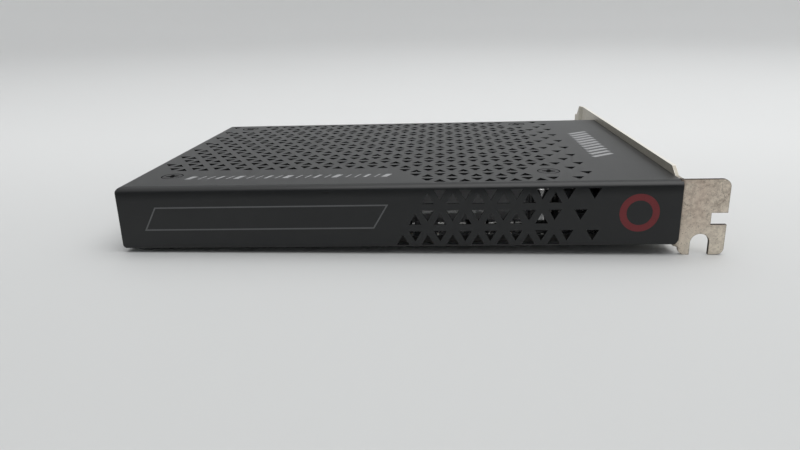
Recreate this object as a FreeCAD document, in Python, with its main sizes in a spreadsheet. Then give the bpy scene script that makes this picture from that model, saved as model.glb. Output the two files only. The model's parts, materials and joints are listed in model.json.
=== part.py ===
import FreeCAD, Part
import math
import os

import Sketcher
from FreeCAD import Vector

# Full-height video capture card for a computer's expansion slot: a circuit board under a folded,
# perforated cover, with its sockets in a plated slot bracket.
# X runs from the cover's closed end to the bracket, Y from the card's front wall towards the gold
# contacts, and Z from the lower edge of the bracket's ear to the perforated face. Sizes are in mm.

# The folded cover.
cover_length = 134.5
cover_depth = 92.0
cover_top = 18.42
cover_bottom = 2.95
cover_gauge = 0.5
cover_lap = 0.55
bend_radius = 1.4
seam_width = 0.3
wall_corner = 1.0
back_lip = 11.6

# Triangular vents on a lattice of equilateral cells, with the bare lands that end it.
vent_pitch = 6.0
vent_side = 3.0
vent_first_x = 4.0
vent_first_y = 1.158
vent_drop = 0.67
vent_wall_row = 5.1
vent_up_land = 28.0
vent_down_land = 19.0
vent_late_land = 58.5
screw_land = 3.6

# The slot bracket, to the expansion card standard.
bracket_gauge = 0.86
bracket_gap = 0.05
ear_front = 0.9
ear_reach = 11.43
ear_width = 18.42
ear_slot_width = 4.42
ear_slot_depth = 5.2
ear_notch_low = 7.42
ear_notch_width = 2.92
ear_notch_depth = 3.7
ear_top_radius = 1.9
ear_leg_radius = 1.5
inner_bend = 0.5
plate_offset = 1.9
plate_width = 18.42
rise_setback = 4.1
rise_run = 2.8
bracket_length = 120.02
tongue_width = 10.19
shoulder_setback = 7.27
tongue_joggle = 0.9
joggle_run = 2.15
tab_reach = 9.0
tab_width = 8.0
tab_front_setback = 12.0
tab_back_setback = 7.5
tab_hole_inset = 5.4

# The circuit board and its edge connector.
board_bottom = 3.75
board_gauge = 1.57
board_margin = 0.4
board_back_margin = 1.0
edge_depth = 8.25
edge_width = 20.3
edge_setback = 45.0
edge_bevel = 0.5
key_width = 1.9
key_depth = 7.7
contact_pitch = 1.0
contact_width = 0.7
contact_length = 4.3
contact_inset = 0.7
plating = 0.04

# Screws and standoffs.
fit_gap = 0.1
screw_radius = 1.25
screw_length = 6.0
head_radius = 2.6
head_height = 0.5
recess_length = 2.7
recess_width = 0.55
recess_depth = 0.35
standoff_radius = 2.75
hex_head_height = 1.6
screw_tip = 0.6

# HDMI sockets.
hdmi_width = 14.0
hdmi_height = 4.55
hdmi_foot_width = 11.2
hdmi_shoulder = 1.9
hdmi_foot = 0.5
hdmi_wall = 0.35
hdmi_depth = 11.9
hdmi_block = 3.4
hdmi_blade_width = 11.2
hdmi_blade_height = 1.6
hdmi_blade_reach = 7.0
hdmi_blade_low = 1.6
hdmi_strip_pitch = 1.0
hdmi_strip_width = 0.42
hdmi_strip_gauge = 0.12
hdmi_strip_inset = 0.6
hdmi_input_y = 26.0
hdmi_output_y = 46.0

# 3.5 mm audio jacks.
jack_bore = 1.8
jack_barrel = 2.95
jack_proud = 1.2
jack_width = 6.6
jack_height = 6.2
jack_depth = 12.4
jack_wall = 0.7
line_in_y = 62.5
line_out_y = 73.5
port_gap = 0.2
leaf_length = 6.6
leaf_width = 1.2
leaf_gauge = 0.3
foot_length = 1.4
foot_height = 2.6

# Main processor and its cooling.
processor_side = 21.0
processor_setback = 52.5
processor_y = 23.4
processor_base = 0.6
processor_mould = 17.0
processor_height = 1.9
pad_gauge = 0.4
sink_length = 36.0
sink_width = 34.0
sink_base = 2.0
sink_headroom = 1.05
fin_gauge = 1.0
fin_inset = 0.8

# Other parts on the board, each with its size and its distance from what it sits beside.
memory_length = 9.0
memory_width = 13.0
memory_height = 1.1
memory_setback = 35.5
memory_pitch = 16.0
chip_frame = 0.2
chip_step = 0.3
chip_height = 0.85
receiver_side = 10.0
transmitter_side = 8.0
codec_side = 7.0
flash_side = 5.3
port_chip_setback = 23.0
crystal_length = 9.6
crystal_width = 4.2
crystal_height = 3.4
crystal_flange = 0.6
crystal_foot = 0.4
inductor_side = 7.3
inductor_height = 3.6
inductor_foot = 0.3
supply_pitch = 10.5
supply_first_x = 22.0
supply_back_y = 70.0
can_radius = 3.15
can_seat = 6.6
can_seat_height = 0.7
can_headroom = 1.65
can_setback = 31.1
regulator_length = 6.5
regulator_width = 3.5
regulator_height = 1.6
lead_width = 0.7
lead_gauge = 0.3
small_length = 1.6
small_width = 0.8
small_height = 0.8

contacts_before_key = 11
contacts_after_key = 7
hdmi_upper_strips = 10
hdmi_lower_strips = 9
late_rows = 3
fin_count = 9

document = FreeCAD.newDocument("VideoCaptureCard")
sheet = document.addObject("Spreadsheet::Sheet", "Sizes")


# A size with its worth and the expression that gives it, so that a formula written once sets both
# the drawing's first position and the live link to the sheet.
class Size:
    def __init__(self, amount, text):
        self.amount = amount
        self.text = text

    def joined(self, other, sign, amount):
        return Size(amount, f"({self.text} {sign} {as_size(other).text})")

    def __add__(self, other):
        return self.joined(other, "+", self.amount + as_size(other).amount)

    def __sub__(self, other):
        return self.joined(other, "-", self.amount - as_size(other).amount)

    def __mul__(self, other):
        return self.joined(other, "*", self.amount * as_size(other).amount)

    def __truediv__(self, other):
        return self.joined(other, "/", self.amount / as_size(other).amount)

    def __neg__(self):
        return Size(-self.amount, f"(0 - {self.text})")

    __radd__ = __add__


def as_size(value):
    return value if isinstance(value, Size) else Size(value, str(value))


# Gives each length named above its row in the sheet, and links the name to that row.
def link_sizes(names):
    lengths = [(name, amount) for name, amount in names.items() if isinstance(amount, float)]
    for row, (name, amount) in enumerate(lengths, 1):
        sheet.set(f"A{row}", name)
        sheet.set(f"B{row}", str(amount))
        sheet.setAlias(f"B{row}", name)
        names[name] = Size(amount, f"Sizes.{name}")


link_sizes(globals())

zero = Size(0, "0")
board_top = board_bottom + board_gauge
inner_top = cover_top - cover_gauge
plate_inner = cover_length + bracket_gap
plate_outer = plate_inner + bracket_gauge
ear_end = plate_inner + ear_reach
tongue_end = ear_front + bracket_length
plate_top = plate_offset + plate_width
vent_row = vent_pitch * round(math.sqrt(3) / 2, 6)
vent_first_z = cover_top - vent_drop

# The row frame's origin is at the middle of the overall length and depth.
origin_x = ear_end / 2
origin_y = tongue_end / 2

# How many rows and columns of the lattice the cover has room for, and which nodes carry screws.
top_rows = int((cover_depth.amount - 2 * vent_first_y.amount) / vent_row.amount)
wall_rows = int((vent_first_z.amount - cover_bottom.amount + 1) / vent_wall_row.amount)
screw_columns = (1, int((cover_length - vent_up_land).amount / vent_pitch.amount))
screw_rows = (2, top_rows - 1)

board_left = cover_gauge + board_margin
board_right = plate_inner - board_margin
board_front = cover_gauge + board_margin
board_back = cover_depth - cover_gauge - board_back_margin
edge_right = cover_length - edge_setback
edge_left = edge_right - edge_width
edge_tip = board_back + edge_depth
contact_count = contacts_before_key + contacts_after_key
first_contact = edge_right - (edge_width - contact_pitch * (contact_count + 1)) / 2
key_center = first_contact - contact_pitch * (contacts_before_key + 0.5)
tab_centers = (tab_front_setback, cover_depth - tab_back_setback)
tab_hole_x = plate_inner - tab_hole_inset

hdmi_floor = board_top + hdmi_wall
hdmi_mouth = plate_outer + hdmi_wall
hdmi_back = hdmi_mouth - hdmi_depth
jack_center = board_top + jack_height / 2
jack_mouth = plate_outer + jack_proud
jack_back = plate_inner - fit_gap - jack_depth
ports = (("hdmi_input", hdmi_input_y), ("hdmi_output", hdmi_output_y))
jacks = (("line_in", line_in_y), ("line_out", line_out_y))

processor_x = cover_length - processor_setback
sink_left = processor_x - sink_length / 2
sink_front = processor_y - sink_width / 2
sink_back = sink_front + sink_width
sink_bottom = board_top + processor_height + pad_gauge


def bind(thing, path, size):
    thing.setExpression(path, as_size(size).text)


def place(thing, x, y, z):
    bind(thing, "Placement.Base.x", as_size(x) - origin_x)
    bind(thing, "Placement.Base.y", as_size(y) - origin_y)
    bind(thing, "Placement.Base.z", z)


# Part primitives, placed by their lowest corner or the centre of their first face.
def box(name, corner, extent):
    made = document.addObject("Part::Box", name)
    for path, size in zip(("Length", "Width", "Height"), extent):
        bind(made, path, size)
    place(made, *corner)
    return made


def block_on(name, center_x, center_y, bottom, extent):
    length, width, height = (as_size(size) for size in extent)
    corner = (as_size(center_x) - length / 2, as_size(center_y) - width / 2, bottom)
    return box(name, corner, (length, width, height))


def cylinder(name, base, radius, height):
    made = document.addObject("Part::Cylinder", name)
    bind(made, "Radius", radius)
    bind(made, "Height", height)
    place(made, *base)
    return made


def cone(name, base, low_radius, high_radius, height):
    made = document.addObject("Part::Cone", name)
    bind(made, "Radius1", low_radius)
    bind(made, "Radius2", high_radius)
    bind(made, "Height", height)
    place(made, *base)
    return made


def hexagon(name, base, radius, height):
    made = document.addObject("Part::Prism", name)
    made.Polygon = 6
    bind(made, "Circumradius", radius)
    bind(made, "Height", height)
    place(made, *base)
    return made


def fuse(name, pieces):
    made = document.addObject("Part::MultiFuse", name)
    made.Shapes = pieces
    return made


def cut(name, base, tool):
    made = document.addObject("Part::Cut", name)
    made.Base = base
    made.Tool = tool
    return made


def group(name, pieces):
    made = document.addObject("Part::Compound", name)
    made.Links = pieces
    return made


# PartDesign bodies, drawn in the card's own coordinates.
def new_body(name):
    body = document.addObject("PartDesign::Body", name)
    place(body, zero, zero, zero)
    return body


def new_sketch(body, name, role, offset=None):
    sketch = body.newObject("Sketcher::SketchObject", name)
    plane = next(item for item in body.Origin.OriginFeatures if item.Role == role)
    sketch.AttachmentSupport = [(plane, "")]
    sketch.MapMode = "FlatFace"
    if offset is not None:
        bind(sketch, "AttachmentOffset.Base.z", offset)
    return sketch


def hold_point(sketch, geometry, point, x, y):
    for kind, size, axis in (("DistanceX", as_size(x), -2), ("DistanceY", as_size(y), -1)):
        if size.amount == 0:
            sketch.addConstraint(Sketcher.Constraint("PointOnObject", geometry, point, axis))
        else:
            held = sketch.addConstraint(Sketcher.Constraint(kind, -1, 1, geometry, point, size.amount))
            bind(sketch, f"Constraints[{held}]", size)


def draw_outline(sketch, corners):
    first = sketch.GeometryCount
    points = [Vector(as_size(x).amount, as_size(y).amount, 0) for x, y in corners]
    for start, end in zip(points, points[1:] + points[:1]):
        sketch.addGeometry(Part.LineSegment(start, end), False)
    for index, (x, y) in enumerate(corners):
        following = first + (index + 1) % len(corners)
        sketch.addConstraint(Sketcher.Constraint("Coincident", first + index, 2, following, 1))
        hold_point(sketch, first + index, 1, x, y)


def draw_rectangle(sketch, low_x, low_y, high_x, high_y):
    draw_outline(sketch, [(low_x, low_y), (high_x, low_y), (high_x, high_y), (low_x, high_y)])


def draw_circle(sketch, x, y, radius):
    circle = Part.Circle(Vector(as_size(x).amount, as_size(y).amount, 0), Vector(0, 0, 1), radius.amount)
    number = sketch.addGeometry(circle, False)
    hold_point(sketch, number, 3, x, y)
    held = sketch.addConstraint(Sketcher.Constraint("Radius", number, radius.amount))
    bind(sketch, f"Constraints[{held}]", radius)


# What a rounded corner takes away: the square beyond a quarter circle.
def draw_corner(sketch, x, y, radius):
    center_x, center_y = x + radius, y + radius
    middle = Vector(center_x.amount, center_y.amount, 0)
    circle = Part.Circle(middle, Vector(0, 0, 1), radius.amount)
    places = [(x, center_y), (x - 1, center_y), (x - 1, y - 1), (center_x, y - 1), (center_x, y)]
    points = [Vector(u.amount, v.amount, 0) for u, v in places]
    for start, end in zip(points, points[1:]):
        sketch.addGeometry(Part.LineSegment(start, end), False)
    arc = sketch.addGeometry(Part.ArcOfCircle(circle, math.pi, 1.5 * math.pi), False)
    for line in range(1, 4):
        sketch.addConstraint(Sketcher.Constraint("Coincident", line - 1, 2, line, 1))
    for line, (u, v) in enumerate(places[:4]):
        hold_point(sketch, line, 1, u, v)
    hold_point(sketch, 3, 2, center_x, y)
    sketch.addConstraint(Sketcher.Constraint("Coincident", arc, 1, 0, 1))
    sketch.addConstraint(Sketcher.Constraint("Coincident", arc, 2, 3, 2))
    held = sketch.addConstraint(Sketcher.Constraint("Radius", arc, radius.amount))
    bind(sketch, f"Constraints[{held}]", radius)


def pad(sketch, name, length, reverse=False):
    made = sketch.getParentGeoFeatureGroup().newObject("PartDesign::Pad", name)
    made.Profile = sketch
    bind(made, "Length", length)
    made.Reversed = reverse
    sketch.Visibility = False
    return made


def pocket(sketch, name, length, reverse=False):
    made = sketch.getParentGeoFeatureGroup().newObject("PartDesign::Pocket", name)
    made.Profile = sketch
    bind(made, "Length", length)
    made.Reversed = reverse
    return made


# Names of the edges of a feature whose two ends and middle all pass a test.
def edges_where(feature, test):
    document.recompute()
    names = []
    for number, edge in enumerate(feature.Shape.Edges, 1):
        low, high = edge.ParameterRange
        places = [edge.valueAt(low), edge.valueAt((low + high) / 2), edge.valueAt(high)]
        if all(test(place) for place in places):
            names.append(f"Edge{number}")
    return names


def near(value, size):
    return abs(value - as_size(size).amount) < 1e-4


def round_edges(feature, name, radius, test):
    names = edges_where(feature, test)
    made = feature.getParentGeoFeatureGroup().newObject("PartDesign::Fillet", name)
    made.Base = (feature, names)
    bind(made, "Radius", radius)
    return made


def bevel_edges(feature, name, size, test):
    names = edges_where(feature, test)
    made = feature.getParentGeoFeatureGroup().newObject("PartDesign::Chamfer", name)
    made.Base = (feature, names)
    bind(made, "Size", size)
    return made


def screw_centers():
    for column in screw_columns:
        for row in screw_rows:
            yield vent_first_x + vent_pitch * column, vent_first_y + vent_row * row


# Cover: one sheet folded down at the front, the closed end and the back, and perforated.
def cover_blank():
    body = new_body("cover_blank")
    far_end = cover_length + cover_lap
    below = cover_bottom - 1
    section = new_sketch(body, "outer_section", "YZ_Plane")
    draw_rectangle(section, zero, cover_bottom, cover_depth, cover_top)
    folded = pad(section, "outer_block", far_end)
    round_edges(folded, "bends", bend_radius, lambda p: near(p.z, cover_top)
                and (near(p.x, 0) or near(p.y, 0) or near(p.y, cover_depth)))
    hollow_section = new_sketch(body, "inner_section", "YZ_Plane", cover_gauge)
    inner_back = cover_depth - cover_gauge
    draw_rectangle(hollow_section, cover_gauge, below, inner_back, inner_top)
    hollow = pocket(hollow_section, "hollow", far_end, reverse=True)
    round_edges(hollow, "inner_bends", bend_radius - cover_gauge,
                lambda p: near(p.z, inner_top) and (near(p.y, cover_gauge) or near(p.y, inner_back)))
    lap_plan = new_sketch(body, "lap_plan", "XY_Plane", below)
    draw_rectangle(lap_plan, cover_length, cover_gauge, far_end + 1, cover_depth + 1)
    pocket(lap_plan, "lap_cut", cover_top, reverse=True)
    lip_plan = new_sketch(body, "lip_plan", "XY_Plane", below)
    draw_rectangle(lip_plan, cover_gauge, inner_back - cover_gauge, cover_length + 1, cover_depth + 1)
    pocket(lip_plan, "lip_cut", cover_top - back_lip - below, reverse=True)
    seam_plan = new_sketch(body, "seam_plan", "XY_Plane", below)
    for low_y in (cover_gauge, inner_back - seam_width):
        draw_rectangle(seam_plan, zero - 1, low_y, cover_gauge + 0.01, low_y + seam_width)
    pocket(seam_plan, "corner_seams", cover_top - bend_radius - below, reverse=True)
    corner = new_sketch(body, "wall_corner_outline", "XZ_Plane", zero - cover_gauge - 0.01)
    draw_corner(corner, zero, cover_bottom, wall_corner)
    draw_outline(corner, [
        (far_end - wall_corner * 0.7, cover_bottom - 0.01), (far_end + 0.01, cover_bottom - 0.01),
        (far_end + 0.01, cover_bottom + wall_corner)])
    pocket(corner, "wall_corners", cover_gauge + 1, reverse=True)
    return body


# One triangle of the lattice: u and v are its centroid, and it points up or down the sheet.
def vent_corners(u, v, upward):
    reach = vent_side.amount / math.sqrt(3)
    sign = 1 if upward else -1
    half = vent_side.amount / 2
    return [(u - half, v - sign * reach / 2), (u + half, v - sign * reach / 2), (u, v + sign * reach)]


def clear_of_screws(u, v):
    return all(math.hypot(u - x.amount, v - y.amount) > screw_land.amount for x, y in screw_centers())


# Centroids of the vents between two node rows, from the first cell up to the two end limits.
def row_vents(row, low, height, first_down, first_up):
    pitch = vent_pitch.amount
    last_down = (cover_length - vent_down_land).amount
    last_up = (cover_length - vent_up_land).amount
    phase = vent_first_x.amount + (pitch / 2 if row % 2 else 0)
    for column in range(int((last_down - phase) / pitch) + 1):
        down_x = phase + pitch * column
        up_x = down_x + pitch / 2
        if first_down - 0.1 < down_x < last_down:
            yield down_x, low + height * 2 / 3, False
        if first_up - 0.1 < up_x < last_up:
            yield up_x, low + height / 3, True


def top_vents():
    height = vent_row.amount
    late = (cover_length - vent_late_land).amount
    for row in range(top_rows):
        low = vent_first_y.amount + height * row
        first = late - vent_pitch.amount / 2 * row if row < late_rows else vent_first_x.amount
        for u, v, upward in row_vents(row, low, height, first, first):
            if clear_of_screws(u, v):
                yield vent_corners(u, v, upward)


# On the front wall a triangle that points up has its apex nearer the perforated face.
def wall_vents():
    height = vent_wall_row.amount
    half = vent_pitch.amount / 2
    late = (cover_length - vent_late_land).amount
    for row in range(wall_rows):
        low = vent_first_z.amount - height * (row + 1)
        first = late - half * row
        for u, v, upward in row_vents(row + 1, low, height, first + half, first):
            yield vent_corners(u, v, upward)


def prism(points, direction):
    return Part.Face(Part.makePolygon(points + points[:1])).extrude(direction)


def vent_tools():
    proud = 0.2
    depth = cover_gauge.amount + 2 * proud
    low = inner_top.amount - proud
    prisms = [prism([Vector(u, v, low) for u, v in corners], Vector(0, 0, depth))
              for corners in top_vents()]
    prisms += [prism([Vector(u, -proud, v) for u, v in corners], Vector(0, depth, 0))
               for corners in wall_vents()]
    tools = document.addObject("Part::Feature", "vent_tools")
    tools.Shape = Part.makeCompound(prisms)
    place(tools, zero, zero, zero)
    return tools


# A countersink as deep as the sheet, with a gap all round the screw's head.
def countersink(name, x, y):
    slope = (head_radius - screw_radius) / head_height
    inner = screw_radius + fit_gap
    extra = 0.3
    return cone(name, (x, y, cover_top - head_height - extra), inner - slope * extra,
                inner + slope * (head_height + extra), head_height + extra * 2)


def top_cover():
    sinks = [countersink(f"cover_sink_{number}", x, y) for number, (x, y) in enumerate(screw_centers())]
    blank = cover_blank()
    return cut("top_cover", blank, group("cover_openings", [vent_tools()] + sinks))


# Countersunk screws with a cross recess, flush with the cover.
def cover_screws():
    screws = []
    for number, (x, y) in enumerate(screw_centers()):
        name = f"cover_screw_{number}"
        head_low = cover_top - head_height
        low = cover_top - screw_length
        recess_low = cover_top - recess_depth
        head = cone(f"{name}_head", (x, y, head_low), screw_radius, head_radius, head_height)
        shank = cylinder(f"{name}_shank", (x, y, low), screw_radius, head_low - low)
        along = block_on(f"{name}_along", x, y, recess_low, (recess_length, recess_width, recess_depth + 1))
        across = block_on(f"{name}_across", x, y, recess_low, (recess_width, recess_length, recess_depth + 1))
        screws.append(cut(name, fuse(f"{name}_blank", [head, shank]), fuse(f"{name}_cross", [along, across])))
    return group("cover_screws", screws)


# Hexagonal standoffs, soldered to the board and tapped for the cover's screws.
def cover_standoffs():
    standoffs = []
    for number, (x, y) in enumerate(screw_centers()):
        name = f"standoff_{number}"
        column = hexagon(f"{name}_column", (x, y, board_top), standoff_radius, inner_top - board_top)
        bore = cylinder(f"{name}_bore", (x, y, board_top - 1), screw_radius + fit_gap,
                        inner_top - board_top + 2)
        standoffs.append(cut(name, column, bore))
    return group("cover_standoffs", standoffs)


def printed_circuit_board():
    body = new_body("printed_circuit_board")
    plan = new_sketch(body, "board_plan", "XY_Plane", board_bottom)
    key_left = key_center - key_width / 2
    key_right = key_center + key_width / 2
    key_end = edge_tip - key_depth
    draw_outline(plan, [
        (board_left, board_front), (board_right, board_front), (board_right, board_back),
        (edge_right, board_back), (edge_right, edge_tip), (key_right, edge_tip), (key_right, key_end),
        (key_left, key_end), (key_left, edge_tip), (edge_left, edge_tip), (edge_left, board_back),
        (board_left, board_back)])
    laminate = pad(plan, "laminate", board_gauge)
    bevel_edges(laminate, "edge_bevels", edge_bevel,
                lambda p: near(p.y, edge_tip) and (near(p.z, board_bottom) or near(p.z, board_top)))
    holes = new_sketch(body, "board_holes", "XY_Plane", board_bottom - 1)
    for y in tab_centers:
        draw_circle(holes, tab_hole_x, y, screw_radius + fit_gap)
    pocket(holes, "board_hole_cut", board_gauge + 2, reverse=True)
    return body


def edge_contacts():
    contacts = []
    y = edge_tip - contact_inset - contact_length
    for number in range(contact_count):
        skipped = 2 if number >= contacts_before_key else 0
        x = first_contact - contact_pitch * (number + skipped) - contact_width / 2
        for side, z in (("upper", board_top), ("lower", board_bottom - plating)):
            name = f"contact_{side}_{number}"
            contacts.append(box(name, (x, y, z), (contact_width, contact_length, plating)))
    return group("edge_contacts", contacts)


# Socket outline seen from the bracket: wide above, and drawn in at the foot.
def hdmi_outline(sketch, center_y, grow):
    low = hdmi_floor - grow
    high = hdmi_floor + hdmi_height + grow
    half = hdmi_width / 2 + grow
    foot = hdmi_foot_width / 2 + grow
    draw_outline(sketch, [
        (center_y - half, high), (center_y - half, hdmi_floor + hdmi_shoulder),
        (center_y - foot, hdmi_floor + hdmi_foot), (center_y - foot, low),
        (center_y + foot, low), (center_y + foot, hdmi_floor + hdmi_foot),
        (center_y + half, hdmi_floor + hdmi_shoulder), (center_y + half, high)])


# The plate, which rises past the ear's height on a short slope, and the bent corner.
def bracket_plate(body, outer_bend, bend_front, joggle_front):
    rise_front = ear_front + rise_setback
    plate = new_sketch(body, "plate_outline", "YZ_Plane", plate_inner)
    draw_outline(plate, [
        (bend_front, plate_offset), (joggle_front, plate_offset), (joggle_front, plate_top),
        (rise_front + rise_run, plate_top), (rise_front, ear_width), (bend_front, ear_width)])
    pad(plate, "plate", bracket_gauge)
    bend = new_sketch(body, "bend_section", "XY_Plane", plate_offset)
    draw_rectangle(bend, plate_inner, ear_front, plate_inner + outer_bend, bend_front)
    pad(bend, "bend_corner", ear_width - plate_offset)
    relief = new_sketch(body, "bend_relief", "XY_Plane", plate_offset - 1)
    draw_rectangle(relief, plate_outer, ear_front + bracket_gauge, plate_inner + outer_bend, bend_front + 1)
    pocket(relief, "bend_inside", ear_width + 2, reverse=True)


# The ear with its screw slot from below and the notch in its end.
def bracket_ear(body, outer_bend, leg_x):
    ear = new_sketch(body, "ear_outline", "XZ_Plane", -ear_front)
    notch_top = ear_notch_low + ear_notch_width
    notch_x = ear_end - ear_notch_depth
    root_x = plate_inner + outer_bend
    draw_outline(ear, [
        (root_x, ear_width), (ear_end, ear_width), (ear_end, notch_top), (notch_x, notch_top),
        (notch_x, ear_notch_low), (ear_end, ear_notch_low), (ear_end, zero), (leg_x, zero),
        (leg_x, plate_offset), (root_x, plate_offset)])
    pad(ear, "ear", bracket_gauge, reverse=True)
    slot_x = plate_inner + ear_reach / 2
    arch = ear_slot_depth - ear_slot_width / 2
    through = ear_front + bracket_gauge + 1
    slot = new_sketch(body, "slot_straight", "XZ_Plane", zero)
    draw_rectangle(slot, slot_x - ear_slot_width / 2, zero - 1, slot_x + ear_slot_width / 2, arch)
    pocket(slot, "slot_cut", through)
    crown = new_sketch(body, "slot_crown", "XZ_Plane", zero)
    draw_circle(crown, slot_x, arch, ear_slot_width / 2)
    pocket(crown, "crown_cut", through)


# The far end steps inwards, and tapers from its shoulders to the narrow tongue.
def bracket_tongue(body, joggle_front, shoulder):
    section = new_sketch(body, "tongue_section", "XY_Plane", plate_offset)
    inner = plate_inner - tongue_joggle
    outer = plate_outer - tongue_joggle
    draw_outline(section, [
        (plate_inner, joggle_front), (plate_outer, joggle_front), (outer, shoulder),
        (outer, tongue_end), (inner, tongue_end), (inner, shoulder)])
    pad(section, "tongue", plate_width)
    taper = (plate_width - tongue_width) / 2
    sides = new_sketch(body, "tongue_sides", "YZ_Plane", inner - 1)
    for edge, step, width in ((plate_offset, -1, taper), (plate_top, 1, -taper)):
        draw_outline(sides, [
            (shoulder - 1, edge + step), (shoulder + taper, edge + width), (tongue_end + 1, edge + width),
            (tongue_end + 1, edge + step)])
    pocket(sides, "tongue_taper", tongue_joggle + bracket_gauge + 2, reverse=True)


# The openings for the sockets, and two tabs that carry the board.
def bracket_ports_and_tabs(body):
    before = plate_inner - 1
    through = bracket_gauge + 2
    openings = new_sketch(body, "port_openings", "YZ_Plane", before)
    for _, y in ports:
        hdmi_outline(openings, y, hdmi_wall + port_gap)
    for _, y in jacks:
        draw_circle(openings, y, jack_center, jack_barrel + port_gap)
    pocket(openings, "port_cut", through, reverse=True)
    clear = new_sketch(body, "tab_clearance", "YZ_Plane", before)
    half = tab_width / 2
    for y in tab_centers:
        draw_rectangle(clear, y - half - 0.5, plate_offset - 1, y + half + 0.5, board_bottom)
    pocket(clear, "tab_notches", through, reverse=True)
    tabs = new_sketch(body, "tab_plan", "XY_Plane", board_bottom)
    for y in tab_centers:
        draw_rectangle(tabs, plate_inner - tab_reach, y - half, plate_outer, y + half)
    pad(tabs, "fixing_tabs", bracket_gauge, reverse=True)
    holes = new_sketch(body, "tab_holes", "XY_Plane", board_bottom + 1)
    for y in tab_centers:
        draw_circle(holes, tab_hole_x, y, screw_radius + fit_gap)
    return pocket(holes, "tab_hole_cut", through)


def io_bracket():
    body = new_body("io_bracket")
    outer_bend = inner_bend + bracket_gauge
    bend_front = ear_front + outer_bend
    shoulder = tongue_end - shoulder_setback
    joggle_front = shoulder - joggle_run
    leg_x = plate_outer + fit_gap
    bracket_plate(body, outer_bend, bend_front, joggle_front)
    bracket_ear(body, outer_bend, leg_x)
    bracket_tongue(body, joggle_front, shoulder)
    last = bracket_ports_and_tabs(body)
    last = round_edges(last, "tab_bends", inner_bend, lambda p: near(p.x, plate_outer)
                       and near(p.z, board_bottom - bracket_gauge))
    last = round_edges(last, "outer_bend", outer_bend,
                       lambda p: near(p.x, plate_inner) and near(p.y, ear_front))
    last = round_edges(last, "inside_bend", inner_bend,
                       lambda p: near(p.x, plate_outer) and near(p.y, ear_front + bracket_gauge))
    last = round_edges(last, "ear_top_corner", ear_top_radius,
                       lambda p: near(p.x, ear_end) and near(p.z, ear_width))
    round_edges(last, "ear_leg_corners", ear_leg_radius,
                lambda p: near(p.z, 0) and (near(p.x, ear_end) or near(p.x, leg_x)))
    return body


# Hexagon-head screws through the board into the bracket's tapped tabs.
def bracket_screws():
    screws = []
    low = board_bottom - bracket_gauge - screw_tip
    for number, y in enumerate(tab_centers):
        name = f"bracket_screw_{number}"
        head = hexagon(f"{name}_head", (tab_hole_x, y, board_top), standoff_radius, hex_head_height)
        shank = cylinder(f"{name}_shank", (tab_hole_x, y, low), screw_radius, board_top - low)
        screws.append(fuse(name, [head, shank]))
    return group("bracket_screws", screws)


# A drawn steel shell, closed behind and open at the bracket.
def hdmi_shell(name, center_y):
    body = new_body(name)
    outside = new_sketch(body, "outside", "YZ_Plane", hdmi_back)
    hdmi_outline(outside, center_y, hdmi_wall)
    pad(outside, "blank", hdmi_depth)
    inside = new_sketch(body, "inside", "YZ_Plane", hdmi_back + hdmi_wall)
    hdmi_outline(inside, center_y, zero)
    pocket(inside, "cavity", hdmi_depth, reverse=True)
    return body


# The moulded block at the back of the shell, and the blade that carries the contacts.
def hdmi_insulator(name, center_y):
    body = new_body(name)
    back = hdmi_back + hdmi_wall
    low = hdmi_floor + hdmi_blade_low
    half = hdmi_blade_width / 2
    block = new_sketch(body, "block_outline", "YZ_Plane", back)
    hdmi_outline(block, center_y, zero - 0.02)
    pad(block, "block", hdmi_block)
    blade = new_sketch(body, "blade_outline", "YZ_Plane", back + hdmi_block)
    draw_rectangle(blade, center_y - half, low, center_y + half, low + hdmi_blade_height)
    pad(blade, "blade", hdmi_blade_reach)
    return body


def hdmi_contacts(name, center_y):
    strips = []
    x = hdmi_back + hdmi_wall + hdmi_block
    low = hdmi_floor + hdmi_blade_low
    extent = (hdmi_blade_reach - hdmi_strip_inset, hdmi_strip_width, hdmi_strip_gauge)
    rows = (("upper", hdmi_upper_strips, low + hdmi_blade_height),
            ("lower", hdmi_lower_strips, low - hdmi_strip_gauge))
    for side, count, z in rows:
        for number in range(count):
            y = center_y + hdmi_strip_pitch * (number - (count - 1) / 2) - hdmi_strip_width / 2
            strips.append(box(f"{name}_{side}_{number}", (x, y, z), extent))
    return group(name, strips)


# Moulded jack: a square housing on the board and a round barrel through the bracket.
def audio_jack(name, center_y):
    body = new_body(name)
    top = board_top + jack_height
    half = jack_width / 2
    housing = new_sketch(body, "housing_outline", "YZ_Plane", jack_back)
    draw_rectangle(housing, center_y - half, board_top, center_y + half, top)
    pad(housing, "housing", jack_depth)
    barrel = new_sketch(body, "barrel_outline", "YZ_Plane", jack_back + jack_depth)
    draw_circle(barrel, center_y, jack_center, jack_barrel)
    pad(barrel, "barrel", jack_mouth - jack_back - jack_depth)
    seat = new_sketch(body, "spring_seat", "XY_Plane", top - leaf_gauge)
    seat_half = leaf_width / 2 + fit_gap
    seat_x = jack_back + foot_length
    seat_end = seat_x + leaf_length + fit_gap * 2
    draw_rectangle(seat, seat_x, center_y - seat_half, seat_end, center_y + seat_half)
    pocket(seat, "spring_seat_cut", 1, reverse=True)
    bore = new_sketch(body, "bore_outline", "YZ_Plane", jack_back + jack_wall)
    draw_circle(bore, center_y, jack_center, jack_bore)
    pocket(bore, "bore", jack_mouth - jack_back, reverse=True)
    return body


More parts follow.
